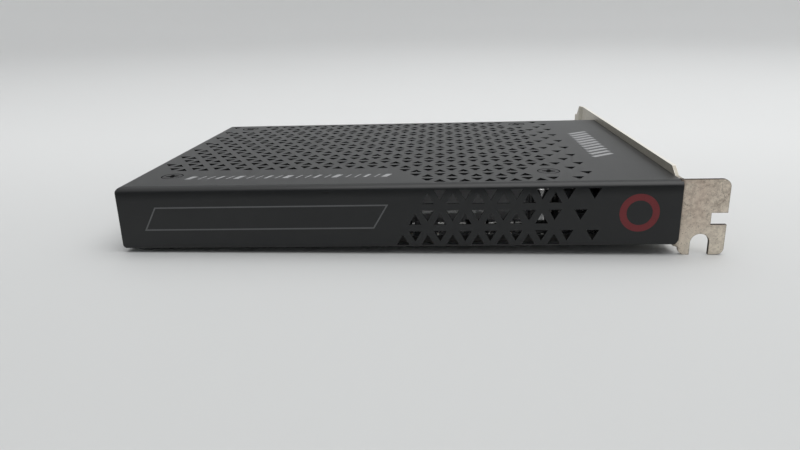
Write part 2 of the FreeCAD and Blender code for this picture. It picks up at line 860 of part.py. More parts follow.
# The contact leaf along the housing's top, and two soldered feet at its sides.
def jack_springs(name, center_y):
    leaf_x = jack_back + foot_length + fit_gap
    leaf_z = board_top + jack_height - leaf_gauge
    half = jack_width / 2
    pieces = [box(f"{name}_leaf", (leaf_x, center_y - leaf_width / 2, leaf_z),
                  (leaf_length, leaf_width, leaf_gauge))]
    for side, y in (("left", center_y - half - leaf_gauge), ("right", center_y + half)):
        pieces.append(box(f"{name}_{side}", (jack_back + jack_depth / 2, y, board_top),
                          (foot_length, leaf_gauge, foot_height)))
    return group(name, pieces)


# Extruded heat sink: a base with straight fins along the card, and a ledge in front and behind.
def heat_sink():
    body = new_body("heat_sink")
    fin_low = sink_bottom + sink_base
    right = sink_left + sink_length
    plan = new_sketch(body, "base_plan", "XY_Plane", sink_bottom)
    draw_rectangle(plan, sink_left, sink_front, right, sink_back)
    pad(plan, "base", sink_base)
    fin = new_sketch(body, "fin_plan", "XY_Plane", fin_low)
    draw_rectangle(fin, sink_left, sink_front + fin_inset, right, sink_front + fin_inset + fin_gauge)
    fin_pad = pad(fin, "fin", inner_top - sink_headroom - fin_low)
    fins = body.newObject("PartDesign::LinearPattern", "fins")
    fins.Originals = [fin_pad]
    fins.Direction = (fin, ["V_Axis"])
    fins.Occurrences = fin_count
    bind(fins, "Length", sink_width - fin_gauge - fin_inset * 2)
    body.Tip = fins
    return body


def thermal_pad():
    return block_on("thermal_pad", processor_x, processor_y, board_top + processor_height,
                    (processor_mould, processor_mould, pad_gauge))


# Ball-grid package: a laminate base and a smaller moulded cap.
def main_processor():
    base = block_on("processor_base_block", processor_x, processor_y, board_top,
                    (processor_side, processor_side, processor_base))
    mould = block_on("processor_mould_block", processor_x, processor_y, board_top + processor_base,
                     (processor_mould, processor_mould, processor_height - processor_base))
    return fuse("main_processor", [base, mould])


# Leadless package: a plated frame under a moulded body that stands back from it.
def leadless_package(name, x, y, side):
    inset = side - chip_step
    frame = block_on(f"{name}_frame", x, y, board_top, (side, side, chip_frame))
    mould = block_on(f"{name}_mould", x, y, board_top + chip_frame,
                     (inset, inset, chip_height - chip_frame))
    return fuse(name, [frame, mould])


def row_of_blocks(name, start, step, count, extent, bottom):
    (x, y), (step_x, step_y) = start, step
    return [block_on(f"{name}_{number}", x + step_x * number, y + step_y * number, bottom, extent)
            for number in range(count)]


def memory_chips():
    start = (processor_x - memory_setback, processor_y - memory_pitch / 2)
    extent = (memory_length, memory_width, memory_height)
    chips = row_of_blocks("memory_chip", start, (zero, memory_pitch), 2, extent, board_top)
    return group("memory_chips", chips)


def crystals():
    cans = []
    places = ((processor_x - memory_setback, sink_back + 11), (tab_hole_x - 11, cover_depth - 9.5))
    for number, (x, y) in enumerate(places):
        foot = block_on(f"crystal_foot_{number}", x, y, board_top,
                        (crystal_length + crystal_flange * 2, crystal_width + crystal_flange, crystal_foot))
        can = block_on(f"crystal_can_{number}", x, y, board_top + crystal_foot,
                       (crystal_length, crystal_width, crystal_height))
        cans.append(fuse(f"crystal_{number}", [foot, can]))
    return group("crystals", cans)


def power_inductors():
    coils = []
    for number in range(2):
        x = supply_first_x + supply_pitch * number
        case = block_on(f"inductor_case_{number}", x, supply_back_y, board_top + inductor_foot,
                        (inductor_side, inductor_side, inductor_height))
        foot = block_on(f"inductor_foot_{number}", x, supply_back_y, board_top,
                        (inductor_side - 1, inductor_side / 2, inductor_foot))
        coils.append(fuse(f"power_inductor_{number}", [case, foot]))
    return group("power_inductors", coils)


# Aluminium can capacitors on square moulded seats.
def can_capacitors():
    cans = []
    places = ((cover_length - can_setback, board_front + 4), (supply_first_x, supply_back_y - 11))
    for number, (x, y) in enumerate(places):
        low = board_top + can_seat_height
        seat = block_on(f"can_seat_{number}", x, y, board_top, (can_seat, can_seat, can_seat_height))
        can = cylinder(f"can_body_{number}", (x, y, low), can_radius, inner_top - can_headroom - low)
        cans.append(fuse(f"can_capacitor_{number}", [seat, can]))
    return group("can_capacitors", cans)


def voltage_regulators():
    packages = []
    case_y = supply_back_y + supply_pitch
    lead_y = case_y - regulator_width / 2
    for number in range(2):
        x = supply_first_x + supply_pitch * number
        case = block_on(f"regulator_case_{number}", x, case_y, board_top,
                        (regulator_length, regulator_width, regulator_height))
        tab = block_on(f"regulator_tab_{number}", x, case_y + regulator_width / 2, board_top,
                       (regulator_length / 2, regulator_height, lead_gauge))
        leads = [block_on(f"regulator_lead_{number}_{side}", x + regulator_width / 2 * side, lead_y,
                          board_top, (lead_width, regulator_height, lead_gauge)) for side in (-1, 1)]
        packages.append(fuse(f"voltage_regulator_{number}", [case, tab] + leads))
    return group("voltage_regulators", packages)


# Small chip parts, laid along the card or across it.
def ceramic_capacitors():
    along = (small_length, small_width, small_height)
    across = (small_width, small_length, small_height)
    step = small_length * 2.5
    pieces = row_of_blocks("bypass_back", (sink_left + 2, sink_back + 3), (step, zero), 8, along, board_top)
    pieces += row_of_blocks("bypass_side", (sink_left - 4, processor_y - 12), (zero, step), 6, across,
                            board_top)
    return group("ceramic_capacitors", pieces)


def chip_resistors():
    extent = (small_length, small_width, small_height * 0.6)
    start = (cover_length - port_chip_setback - receiver_side, hdmi_output_y - 6)
    row = row_of_blocks("series", start, (zero, small_width * 2.5), 8, extent, board_top)
    return group("chip_resistors", row)


def solder_side_capacitors():
    extent = (small_width, small_length, small_height)
    start = (processor_x - processor_side / 2 + 2, processor_y)
    row = row_of_blocks("under_processor", start, (small_length * 1.5, zero), 8, extent,
                        board_bottom - small_height)
    return group("solder_side_capacitors", row)


def build_parts():
    parts = [top_cover(), cover_screws(), cover_standoffs(), printed_circuit_board(), edge_contacts(),
             io_bracket(), bracket_screws()]
    for name, center_y in ports:
        parts += [hdmi_shell(f"{name}_shell", center_y), hdmi_insulator(f"{name}_insulator", center_y),
                  hdmi_contacts(f"{name}_contacts", center_y)]
    for name, center_y in jacks:
        parts += [audio_jack(f"{name}_jack", center_y), jack_springs(f"{name}_springs", center_y)]
    chip_x = cover_length - port_chip_setback
    parts += [heat_sink(), thermal_pad(), main_processor(), memory_chips(),
              leadless_package("hdmi_receiver_chip", chip_x, hdmi_input_y, receiver_side),
              leadless_package("hdmi_transmitter_chip", chip_x, hdmi_output_y, transmitter_side),
              leadless_package("audio_codec_chip", chip_x, line_in_y, codec_side),
              leadless_package("flash_chip", processor_x - 10, sink_back + 11, flash_side),
              crystals(), power_inductors(), can_capacitors(), voltage_regulators(), ceramic_capacitors(),
              chip_resistors(), solder_side_capacitors()]
    return parts


def check_parts(parts):
    document.recompute()
    for item in document.Objects:
        if "Invalid" in item.State or "Error" in item.State:
            raise RuntimeError(f"{item.Name} did not build: {item.State}")
    for part in parts:
        if part.Shape.isNull() or not part.Shape.isValid():
            raise RuntimeError(f"{part.Label} has no valid shape")


def export_parts(parts):
    os.makedirs("parts", exist_ok=True)
    for part in parts:
        part.Shape.exportStep(os.path.join("parts", f"{part.Label}.step"))
        print(part.Label, len(part.Shape.Solids), "solids", round(part.Shape.Volume, 2), "mm3")


card_parts = build_parts()
check_parts(card_parts)
export_parts(card_parts)
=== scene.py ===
import json
import math
import random

import bmesh
import bpy
from mathutils import Matrix, Vector


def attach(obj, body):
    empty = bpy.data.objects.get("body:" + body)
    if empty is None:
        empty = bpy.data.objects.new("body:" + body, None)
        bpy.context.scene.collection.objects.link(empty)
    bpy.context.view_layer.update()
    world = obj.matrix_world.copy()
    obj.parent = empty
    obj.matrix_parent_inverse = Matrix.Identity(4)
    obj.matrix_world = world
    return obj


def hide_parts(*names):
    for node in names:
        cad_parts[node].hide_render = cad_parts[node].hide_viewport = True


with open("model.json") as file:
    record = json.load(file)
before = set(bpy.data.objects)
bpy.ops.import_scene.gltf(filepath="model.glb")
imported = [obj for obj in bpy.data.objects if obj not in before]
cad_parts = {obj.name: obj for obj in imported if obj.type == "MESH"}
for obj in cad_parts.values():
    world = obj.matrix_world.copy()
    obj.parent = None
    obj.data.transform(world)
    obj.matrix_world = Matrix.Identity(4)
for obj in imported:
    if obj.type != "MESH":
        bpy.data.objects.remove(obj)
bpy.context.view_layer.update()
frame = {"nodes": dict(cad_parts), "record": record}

print("frame loaded with", len(frame["nodes"]), "nodes")

# Places below are in the card's own millimetres: x from the cover's closed end, y from its front wall,
# z from the lower edge of the bracket's ear. toRow turns them into the frame's metres.
rowMiddle = Vector((72.99, 60.46, 0))
toRow = Matrix.Scale(0.001, 4) @ Matrix.Translation(-rowMiddle)
toCard = toRow.inverted()


# a shader socket that can be written in sums
class Signal:
    def __init__(self, bench, socket):
        self.bench = bench
        self.socket = socket

    def maths(self, operation, *values):
        return self.bench.node("ShaderNodeMath", {"operation": operation}, dict(enumerate(values)))

    def __neg__(self):
        return self.maths("MULTIPLY", self, -1)

    def __abs__(self):
        return self.maths("ABSOLUTE", self)

    def least(self, other):
        return self.maths("MINIMUM", self, other)

    def most(self, other):
        return self.maths("MAXIMUM", self, other)

    # 0 below low, 1 above high, and a smooth ramp between
    def ramp(self, low, high):
        settings = {"clamp": True, "interpolation_type": "SMOOTHSTEP"}
        return self.bench.node("ShaderNodeMapRange", settings, {0: self, 1: low, 2: high, 3: 0, 4: 1})

    # 1 from low to high, with soft ends
    def band(self, low, high, soft=0.02):
        return self.ramp(low - soft, low + soft) - self.ramp(high - soft, high + soft)


# each operator, and its reflected form for a number on the left
operations = {"add": "ADD", "sub": "SUBTRACT", "mul": "MULTIPLY", "truediv": "DIVIDE", "pow": "POWER"}
for name, operation in operations.items():
    setattr(Signal, f"__{name}__", lambda self, other, kind=operation: self.maths(kind, self, other))
    setattr(Signal, f"__r{name}__", lambda self, other, kind=operation: self.maths(kind, other, self))


# a node tree, and the one method that fills it
class Bench:
    def __init__(self, tree):
        self.tree = tree
        self.tree.nodes.clear()

    def node(self, kind, settings, sockets, output=0):
        made = self.tree.nodes.new(kind)
        for key, value in settings.items():
            setattr(made, key, value)
        for key, value in sockets.items():
            if isinstance(value, Signal):
                self.tree.links.new(value.socket, made.inputs[key])
            else:
                made.inputs[key].default_value = value
        return Signal(self, made.outputs[output] if made.outputs else None)

    def mix(self, factor, first, second):
        return self.node("ShaderNodeMix", {"data_type": "RGBA"}, {0: factor, 6: first, 7: second}, 2)

    # a colour under others, each laid on by its factor
    def layers(self, color, *laid):
        for factor, over in laid:
            color = self.mix(factor, color, over)
        return color

    def part(self, vector, axis):
        return self.node("ShaderNodeSeparateXYZ", {}, {0: vector}, axis)


# one material, with patterns sized in millimetres
class Finish(Bench):
    def __init__(self, name):
        self.material = bpy.data.materials.new(name)
        self.material.use_nodes = True
        super().__init__(self.material.node_tree)
        self.place = self.node("ShaderNodeTexCoord", {}, {}, "Object")

    # a grain is one size, or one along each axis for a drawn or brushed surface
    def spread(self, grain, shift=0):
        grains = grain if isinstance(grain, tuple) else (grain, grain, grain)
        scaled = self.node("ShaderNodeVectorMath", {"operation": "MULTIPLY"},
                           {0: self.place, 1: tuple(1000 / size for size in grains)})
        return self.node("ShaderNodeVectorMath", {"operation": "ADD"}, {0: scaled, 1: (shift, shift * 2, -shift)})

    def noise(self, grain, detail=2, rough=0.55, shift=0):
        sockets = {"Vector": self.spread(grain, shift), "Scale": 1, "Detail": detail, "Roughness": rough}
        return self.node("ShaderNodeTexNoise", {"normalize": True}, sockets, "Fac")

    # patches where a noise climbs between two limits
    def patches(self, pattern, limits):
        return self.noise(*pattern).ramp(*limits)

    def cells(self, grain, feature, distance, randomness, output="Distance"):
        return self.node("ShaderNodeTexVoronoi", {"feature": feature, "distance": distance},
                         {"Vector": self.spread(grain), "Scale": 1, "Randomness": randomness}, output)

    # the place in card millimetres, along one axis
    def card(self, axis):
        return self.part(self.place, axis) * 1000 + rowMiddle["XYZ".index(axis)]

    def facing(self, axis):
        return self.part(self.node("ShaderNodeNewGeometry", {}, {}, "Normal"), axis)

    # 1 where the surface lies square to an axis
    def flat(self, axis):
        return abs(self.facing(axis)).ramp(0.5, 0.8)

    def bump(self, height, depth):
        return self.node("ShaderNodeBump", {}, {"Height": height, "Distance": depth / 1000, "Strength": 1}, "Normal")

    # how far the surface turns within a radius in mm: 0 on a flat, towards 1 on an edge
    def edges(self, radius, gain):
        soft = self.node("ShaderNodeBevel", {"samples": 4}, {"Radius": radius / 1000}, "Normal")
        plain = self.node("ShaderNodeNewGeometry", {}, {}, "Normal")
        along = self.node("ShaderNodeVectorMath", {"operation": "DOT_PRODUCT"}, {0: soft, 1: plain}, "Value")
        return ((1 - along) * gain).least(1)

    # a gloss surface with a height in it, and where dead is 1 a dull one that reflects nothing
    def surface(self, color, rough, height, depth, dead=None, dull=(0.002, 0.002, 0.002, 1), **others):
        sockets = {"Base Color": color, "Roughness": rough, "Normal": self.bump(height, depth)}
        sockets.update({key.replace("_", " "): value for key, value in others.items()})
        shader = self.node("ShaderNodeBsdfPrincipled", {}, sockets)
        if dead is not None:
            soft = self.node("ShaderNodeBsdfDiffuse", {}, {"Color": dull})
            shader = self.node("ShaderNodeMixShader", {}, {0: dead, 1: shader, 2: soft})
        self.node("ShaderNodeOutputMaterial", {}, {"Surface": shader})
        return self.material


# In each finish a pattern is a grain in mm, then detail, roughness and shift; patches add their two limits.
# The cover's matt black powder coat is dull on cut walls and eases over the wide outside of each bend.
coat = {"color": (0.0086, 0.0096, 0.0103, 1), "dust": (0.075, 0.075, 0.072, 1), "edge": (0.036, 0.037, 0.038, 1),
        "cut": (0.015, 0.0155, 0.016, 1), "bare": (0.004, 0.004, 0.004, 1), "roughness": 0.33, "gloss": 0.42,
        "sheen": 0.13, "sheenRough": 0.3, "peel": (0.42, 3, 0.6), "peelDepth": 0.006, "fine": (0.09, 2, 0.6, 3),
        "cloud": (24, 4, 0.6, 8), "cloudLimits": (0.42, 0.75), "specks": ((0.3, 1, 0.5, 5), (0.76, 0.82)),
        "scuffs": (((9, 0.35, 0.35), 2, 0.6, 6), (0.7, 0.78)), "cloudDust": 0.06, "speckDust": 0.2,
        "scuffDust": 0.06, "edgeWearAndHighlight": 0.55, "crownStart": 14.9, "crown": 11}
ventArea = {"along": (1.6, 133), "across": (1.6, 90.3), "up": (3.4, 17.3), "topSheet": (17.93, 18.41, 0.005),
            "frontSheet": (0.01, 0.49, 0.005)}
chip = {"middle": (51.9, 16.6), "reach": (0.85, 0.32), "ragged": (0.35, 2, 0.6, 9), "raggedBy": 1.6,
        "rim": (0.75, 1.05), "depth": 3}
screwGapShade = {"middle": (58, 47.925), "away": (48, 36.375), "ring": (2.5, 2.82, 0.05), "above": (17.8, 17.9)}


# the vents' walls lie inside the sheet, square to its two faces
def ventWalls(made):
    x, y, z = (made.card(axis) for axis in "XYZ")
    top = z.band(*ventArea["topSheet"]) * y.band(*ventArea["across"]) * (1 - made.flat("Z"))
    front = y.band(*ventArea["frontSheet"]) * z.band(*ventArea["up"]) * (1 - made.flat("Y"))
    return x.band(*ventArea["along"]) * top.most(front)


# a small chip in the coat at the front bend
def chipMark(made):
    aside = (made.card("X") - chip["middle"][0]) / chip["reach"][0]
    up = (made.card("Z") - chip["middle"][1]) / chip["reach"][1]
    ragged = (made.noise(*chip["ragged"]) - 0.5) * chip["raggedBy"]
    return 1 - (aside * aside + up * up + ragged).ramp(*chip["rim"])


# painted shade: the gap round each screw made dark and dull, the same in all four corners
def paintedScrewGapShade(made):
    aside = abs(made.card("X") - screwGapShade["middle"][0]) - screwGapShade["away"][0]
    along = abs(made.card("Y") - screwGapShade["middle"][1]) - screwGapShade["away"][1]
    away = (aside * aside + along * along) ** 0.5
    return away.band(*screwGapShade["ring"]) * made.card("Z").ramp(*screwGapShade["above"])


def coverCoat():
    made = Finish("blackPowderCoat")
    peel, fine, cloud = (made.noise(*coat[pattern]) for pattern in ("peel", "fine", "cloud"))
    specks = made.patches(*coat["specks"]) * made.facing("Z").ramp(0.5, 0.9)
    scuffs = made.patches(*coat["scuffs"])
    # paler edges on the vents and bends: edge wear and painted highlight
    edge = made.edges(0.22, 2.4)
    bare = chipMark(made)
    dusty = cloud.ramp(*coat["cloudLimits"]) * coat["cloudDust"] + specks * coat["speckDust"]
    color = made.layers(coat["color"], ((dusty + scuffs * coat["scuffDust"]).least(1), coat["dust"]),
                        (edge * coat["edgeWearAndHighlight"], coat["edge"]), (bare, coat["bare"]))
    rough = coat["roughness"] + (cloud - 0.5) * 0.08 + (fine - 0.5) * 0.1 - edge * 0.08
    crown = (made.card("Z") - coat["crownStart"]).most(0) ** 2 * coat["crown"]
    height = peel * 0.75 + fine * 0.25 - bare * chip["depth"] - crown
    return made.surface(color, rough, height, coat["peelDepth"], ventWalls(made).most(paintedScrewGapShade(made)), coat["cut"],
                        Specular_IOR_Level=coat["gloss"], Sheen_Weight=coat["sheen"],
                        Sheen_Roughness=coat["sheenRough"])


# screen print: thin ink, worn through to the coat in places
thinInk = {"worn": ((0.5, 3, 0.6), (0.58, 0.74)), "roughness": 0.5, "gloss": 0.4, "peel": (0.42, 3),
           "peelDepth": 0.005, "thickness": 0.012}


def printInk(name, color, worn):
    made = Finish(name)
    inked = made.mix(made.patches(*thinInk["worn"]) * worn, color, coat["color"])
    rough = thinInk["roughness"] + (made.noise(0.3) - 0.5) * 0.1
    return made.surface(inked, rough, made.noise(*thinInk["peel"]), thinInk["peelDepth"],
                        Specular_IOR_Level=thinInk["gloss"])


# the bracket's dull zinc plate: blotched crystals, brown handling stains, two scratches, and darker cut edges, with
# painted shade and highlight on the plate
zinc = {"pale": (0.84, 0.75, 0.63, 1), "dull": (0.46, 0.385, 0.315, 1), "warm": (0.6, 0.465, 0.38, 1),
        "stain": (0.17, 0.125, 0.09, 1), "cut": (0.03, 0.024, 0.02, 1), "bright": (0.86, 0.84, 0.78, 1),
        "paleLow": (0.9, 0.83, 0.7, 1), "oliveAndShade": (0.33, 0.33, 0.285, 1), "roughness": 0.48, "metal": 0.5,
        "crystals": (0.22, 3, 0.75), "blotch": (1.3, 5, 0.72, 2), "cloud": (5, 3, 0.6, 5),
        "stains": ((1, 5, 0.8, 7), (0.57, 0.68)), "spots": ((0.34, 2, 0.6, 11), (0.62, 0.68)),
        "rubbed": (((9, 0.5, 0.07), 2, 0.6, 4), (0.68, 0.74)), "earBack": (2.2, 2.4), "pastBend": (136.4, 136.5),
        "outward": (137, 145), "foot": (2, 13), "crest": (20.2, 20.3), "depth": 0.012}
# each scratch on the ear: its circle's middle in x and z, radius, width, and its low and high end from the middle
earScratches = ((148.6, 17, 4.7, 0.09, -3, 0.6), (140, 17.6, 6.4, 0.1, -5.4, -3.6))


def earScratch(made, middleX, middleZ, radius, width, low, high):
    aside = made.card("X") - middleX
    up = made.card("Z") - middleZ
    away = abs((aside * aside + up * up) ** 0.5 - radius + (made.noise(0.9, 2, 0.6, 3) - 0.5) * 0.5)
    return (1 - away.ramp(width * 0.4, width)) * up.band(low, high, 0.3)


def zincPlate():
    made = Finish("zincPlate")
    x, y, z = (made.card(axis) for axis in "XYZ")
    crystals, blotch, cloud = (made.noise(*zinc[pattern]) for pattern in ("crystals", "blotch", "cloud"))
    stain, spots, rubbed = (made.patches(*zinc[pattern]) for pattern in ("stains", "spots", "rubbed"))
    onPlate = y.ramp(*zinc["earBack"])
    onEar = 1 - onPlate
    edge = made.edges(0.3, 3.4)
    sheared = onEar * ((1 - made.flat("Y")) * x.ramp(*zinc["pastBend"])).most(made.flat("Z"))
    first, second = (earScratch(made, *scratch) for scratch in earScratches)
    scratch = first.most(second) * onEar
    # painted highlight: the plate's top edge made paler and less metal
    crest = onPlate * z.ramp(*zinc["crest"])
    color = made.layers(
        zinc["dull"],
        (blotch.ramp(0.36, 0.62) * 0.75 + crystals.ramp(0.36, 0.66) * 0.25, zinc["pale"]),
        (cloud.ramp(0.35, 0.65) * (1 - x.ramp(*zinc["outward"])) * 0.6, zinc["warm"]),
        # paler towards the ear's foot
        (onEar * (1 - z.ramp(*zinc["foot"])) * 0.45, zinc["paleLow"]),
        ((stain * 0.5 + spots * 0.6) * onEar + stain * 0.25 * onPlate, zinc["stain"]),
        # olive tint over the plate, darkened as painted shade on its inner face
        (onPlate * 0.75, zinc["oliveAndShade"]),
        # painted highlight on the plate's edges and top edge, with rubbed wear on both parts
        ((onPlate * edge * 0.6 + rubbed * 0.25 + crest).least(1), zinc["bright"]),
        ((onEar * edge * 1.3 + scratch * 0.5).least(1), zinc["stain"]),
        (sheared, zinc["cut"]))
    rough = zinc["roughness"] + (crystals - 0.5) * 0.2 + stain * 0.12 - rubbed * 0.1 + sheared * 0.3
    height = crystals * 0.5 + blotch * 0.5 - rubbed * 0.4 - scratch - spots * 0.5
    metal = (zinc["metal"] - stain * 0.25 - crest * 0.4 - sheared - scratch * 0.4).most(0)
    return made.surface(color, rough, height, zinc["depth"], Metallic=metal)


# a colour made darker or paler
def shaded(color, share):
    return tuple(min(part * share, 1) for part in color[:3]) + (1,)


# plated or bare metal, drawn along its grain, darker in clouds and paler on its edges
plate = {"cloud": (3, 3, 0.6, 3), "limits": (0.35, 0.7), "dark": 0.7, "worn": 1.25, "edge": (0.1, 2)}


def plainPlate(name, color, roughness, grain=(6, 0.12, 0.12), depth=0.003, metallic=1):
    made = Finish(name)
    drawn = made.noise(grain, 2, 0.6)
    cloud = made.noise(*plate["cloud"])
    shade = made.layers(shaded(color, plate["dark"]), ((drawn * 0.5 + cloud * 0.5).ramp(*plate["limits"]), color),
                        (made.edges(*plate["edge"]) * 0.5, shaded(color, plate["worn"])))
    rough = roughness + (drawn - 0.5) * 0.14 + (cloud - 0.5) * 0.1
    return made.surface(shade, rough, drawn, depth, Metallic=metallic)


# drawn aluminium with long dark streaks up the can
canMetal = {"dark": (0.16, 0.16, 0.165, 1), "pale": (0.62, 0.62, 0.61, 1), "drawn": ((0.35, 0.35, 6), 3, 0.65),
            "streaks": (((0.9, 0.9, 9), 2, 0.6, 5), (0.42, 0.58)), "roughness": 0.24, "metal": 0.9, "depth": 0.02}


def drawnCan():
    made = Finish("drawnCan")
    drawn = made.noise(*canMetal["drawn"])
    streak = made.patches(*canMetal["streaks"])
    color = made.mix(streak * 0.8 + drawn * 0.2, canMetal["dark"], canMetal["pale"])
    rough = canMetal["roughness"] + (drawn - 0.5) * 0.2
    return made.surface(color, rough, drawn + streak * 0.5, canMetal["depth"], Metallic=canMetal["metal"])


# circuit board: black mask over copper, with traces, vias and cut edges
board = {"mask": (0.04, 0.043, 0.047, 1), "trace": (0.075, 0.08, 0.086, 1), "laminate": (0.0075, 0.007, 0.006, 1),
         "tin": (0.5, 0.49, 0.46, 1), "holeShade": (0.003, 0.003, 0.003, 1), "traceGrain": (2.6, 1.7, 50),
         "traceGap": (0.1, 0.16), "pourGrain": (17, 13, 60), "pourLimits": (0.48, 0.52),
         "viaGrain": (2.9, 2.9, 80), "viaHole": (0.038, 0.048), "viaRing": (0.085, 0.1), "roughness": 0.32,
         "depth": 0.03}


def boardMask():
    made = Finish("blackBoard")
    far, near = (made.cells(board["traceGrain"], feature, "MANHATTAN", 0.9) for feature in ("F2", "F1"))
    traces = 1 - (far - near).ramp(*board["traceGap"])
    tone = made.cells(board["pourGrain"], "F1", "CHEBYCHEV", 0.8, "Color")
    pours = made.node("ShaderNodeSeparateColor", {}, {0: tone}, 0).ramp(*board["pourLimits"])
    vias = made.cells(board["viaGrain"], "F1", "EUCLIDEAN", 0.75)
    # painted shade: the via holes made near black
    holeShade = 1 - vias.ramp(*board["viaHole"])
    ring = (1 - vias.ramp(*board["viaRing"])) - holeShade
    face = made.flat("Z")
    raised = traces.most(pours) * face
    color = made.layers(board["mask"], (raised, board["trace"]), (ring * 0.85, board["tin"]), (holeShade, board["holeShade"]),
                        (1 - face, board["laminate"]))
    rough = board["roughness"] + (1 - face) * 0.45 - raised * 0.05 + (made.noise(0.8, 3) - 0.5) * 0.08
    height = raised + ring * face * 0.6 - holeShade * face
    return made.surface(color, rough, height, board["depth"], Metallic=ring * face * 0.9)


# moulded or fired stuff: an even grain, soft clouds and paler edges
mould = {"limits": (0.4, 0.8), "cloud": (5, 3, 0.6, 4), "edge": (0.12, 2)}


def moulding(name, color, roughness, grain=0.25, depth=0.006, lighten=1.6):
    made = Finish(name)
    grains = made.noise(grain, 3, 0.6)
    paler = grains.ramp(*mould["limits"]) * 0.35 + made.noise(*mould["cloud"]) * 0.25 + made.edges(*mould["edge"]) * 0.4
    shade = made.mix(paler, color, shaded(color, lighten))
    return made.surface(shade, roughness + (grains - 0.5) * 0.14, grains, depth)


# dark anodised extrusion, milled bare along the base's ledges, where the near-white is also a painted highlight, with
# edges paler by wear and painted highlight
sink = {"anodised": (0.29, 0.293, 0.3, 1), "worn": (0.55, 0.553, 0.558, 1), "raw": (0.95, 0.95, 0.94, 1),
        "drawn": ((14, 0.1, 0.1), 3, 0.6), "cloud": (4, 3, 0.6, 6), "limits": (0.4, 0.75),
        "ledge": (9.26, 9.74, 0.01), "fins": (7.22, 39.6), "milledGlint": (73, 91, 0.6),
        "patchy": ((1.3, 2, 0.6), (0.38, 0.5)), "edge": (0.12, 2.4), "roughness": 0.46, "metal": 0.1, "depth": 0.006}


def anodisedSink():
    made = Finish("darkAnodised")
    drawn, cloud = (made.noise(*sink[pattern]) for pattern in ("drawn", "cloud"))
    onLedge = made.card("Z").band(*sink["ledge"]) * (1 - made.card("Y").band(*sink["fins"]))
    # painted highlight: the milled ledge made near white for the glint along it
    milledGlint = onLedge * made.card("X").band(*sink["milledGlint"]) * made.patches(*sink["patchy"])
    # paler patches, and edges paler by wear and painted highlight
    color = made.layers(sink["anodised"], ((drawn * 0.6 + cloud * 0.4).ramp(*sink["limits"]) * 0.5, sink["worn"]),
                        (made.edges(*sink["edge"]) * 0.5, sink["worn"]), (milledGlint, sink["raw"]))
    rough = sink["roughness"] + (drawn - 0.5) * 0.2
    return made.surface(color, rough, drawn, sink["depth"], Metallic=cloud * sink["metal"])


# the shaded floor of a screw's recess
recess = {"dark": (0.004, 0.004, 0.004, 1), "pale": (0.02, 0.02, 0.02, 1), "grain": (0.2, 3, 0.6), "dead": 0.85,
          "depth": 0.01}


def screwRecess():
    made = Finish("screwRecess")
    grains = made.noise(*recess["grain"])
    color = made.mix(grains, recess["dark"], recess["pale"])
    return made.surface(color, 0.5 + grains * 0.2, grains, recess["depth"], recess["dead"] + grains * 0.1)


finishes = {
    "coat": coverCoat(),
    "zinc": zincPlate(),
    "nickel": plainPlate("nickelPlate", (0.7, 0.69, 0.66, 1), 0.24),
    "gold": plainPlate("goldPlate", (0.83, 0.6, 0.25, 1), 0.22, (0.2, 2, 0.2), 0.002),
    "board": boardMask(),
    "black": moulding("blackMoulding", (0.016, 0.016, 0.017, 1), 0.42),
    "sink": anodisedSink(),
    "blackSteel": plainPlate("blackSteel", (0.04, 0.04, 0.042, 1), 0.38, (0.4, 0.4, 0.4), 0.006, 0.55),
    "recess": screwRecess(),
    "steel": plainPlate("plainSteel", (0.56, 0.55, 0.53, 1), 0.3, (0.5, 0.5, 0.5), 0.004),
    "epoxy": moulding("chipEpoxy", (0.036, 0.036, 0.039, 1), 0.55, 0.12, 0.005),
    "substrate": moulding("chipSubstrate", (0.03, 0.045, 0.03, 1), 0.45, 0.2, 0.004),
    "silicone": moulding("greySilicone", (0.34, 0.35, 0.36, 1), 0.75, 0.4, 0.01, 1.15),
    "ceramic": moulding("firedCeramic", (0.36, 0.24, 0.14, 1), 0.5, 0.2, 0.004, 1.3),
    "resistor": moulding("resistorFilm", (0.02, 0.02, 0.024, 1), 0.3, 0.3, 0.003),
    "ferrite": moulding("pressedFerrite", (0.075, 0.076, 0.08, 1), 0.7, 0.18, 0.012, 1.5),
    "can": drawnCan(),
    "tin": plainPlate("tinSolder", (0.62, 0.62, 0.6, 1), 0.28, (0.6, 0.6, 0.6), 0.01),
    "panelInk": printInk("panelInk", (0.118, 0.121, 0.124, 1), 0.2),
    "paleInk": printInk("paleInk", (0.34, 0.345, 0.35, 1), 0.45),
    "redInk": printInk("redInk", (0.172, 0.02, 0.024, 1), 0.55),
    "boardInk": printInk("boardInk", (0.62, 0.62, 0.6, 1), 0.25),
}
print("finishes made:", len(finishes))

# the finish for each of the record's material slots, and for two nodes that differ from their slot
slotFinish = {"black_powder_coat": "coat", "zinc_plate": "zinc", "nickel_plate": "nickel", "black_board": "board",
              "gold_plate": "gold", "black_moulding": "black", "aluminium": "sink", "black_steel": "blackSteel",
              "steel": "steel", "chip_epoxy": "epoxy", "grey_silicone": "silicone", "ceramic": "ceramic",
              "ferrite": "ferrite"}
nodeFinish = {"can_capacitors": "can", "chip_resistors": "resistor"}
for subpart in frame["record"]["subparts"]:
    node = subpart["node"]
    materials = frame["nodes"][node].data.materials
    materials.clear()
    materials.append(finishes[nodeFinish.get(node, slotFinish[subpart["material_slot"]])])


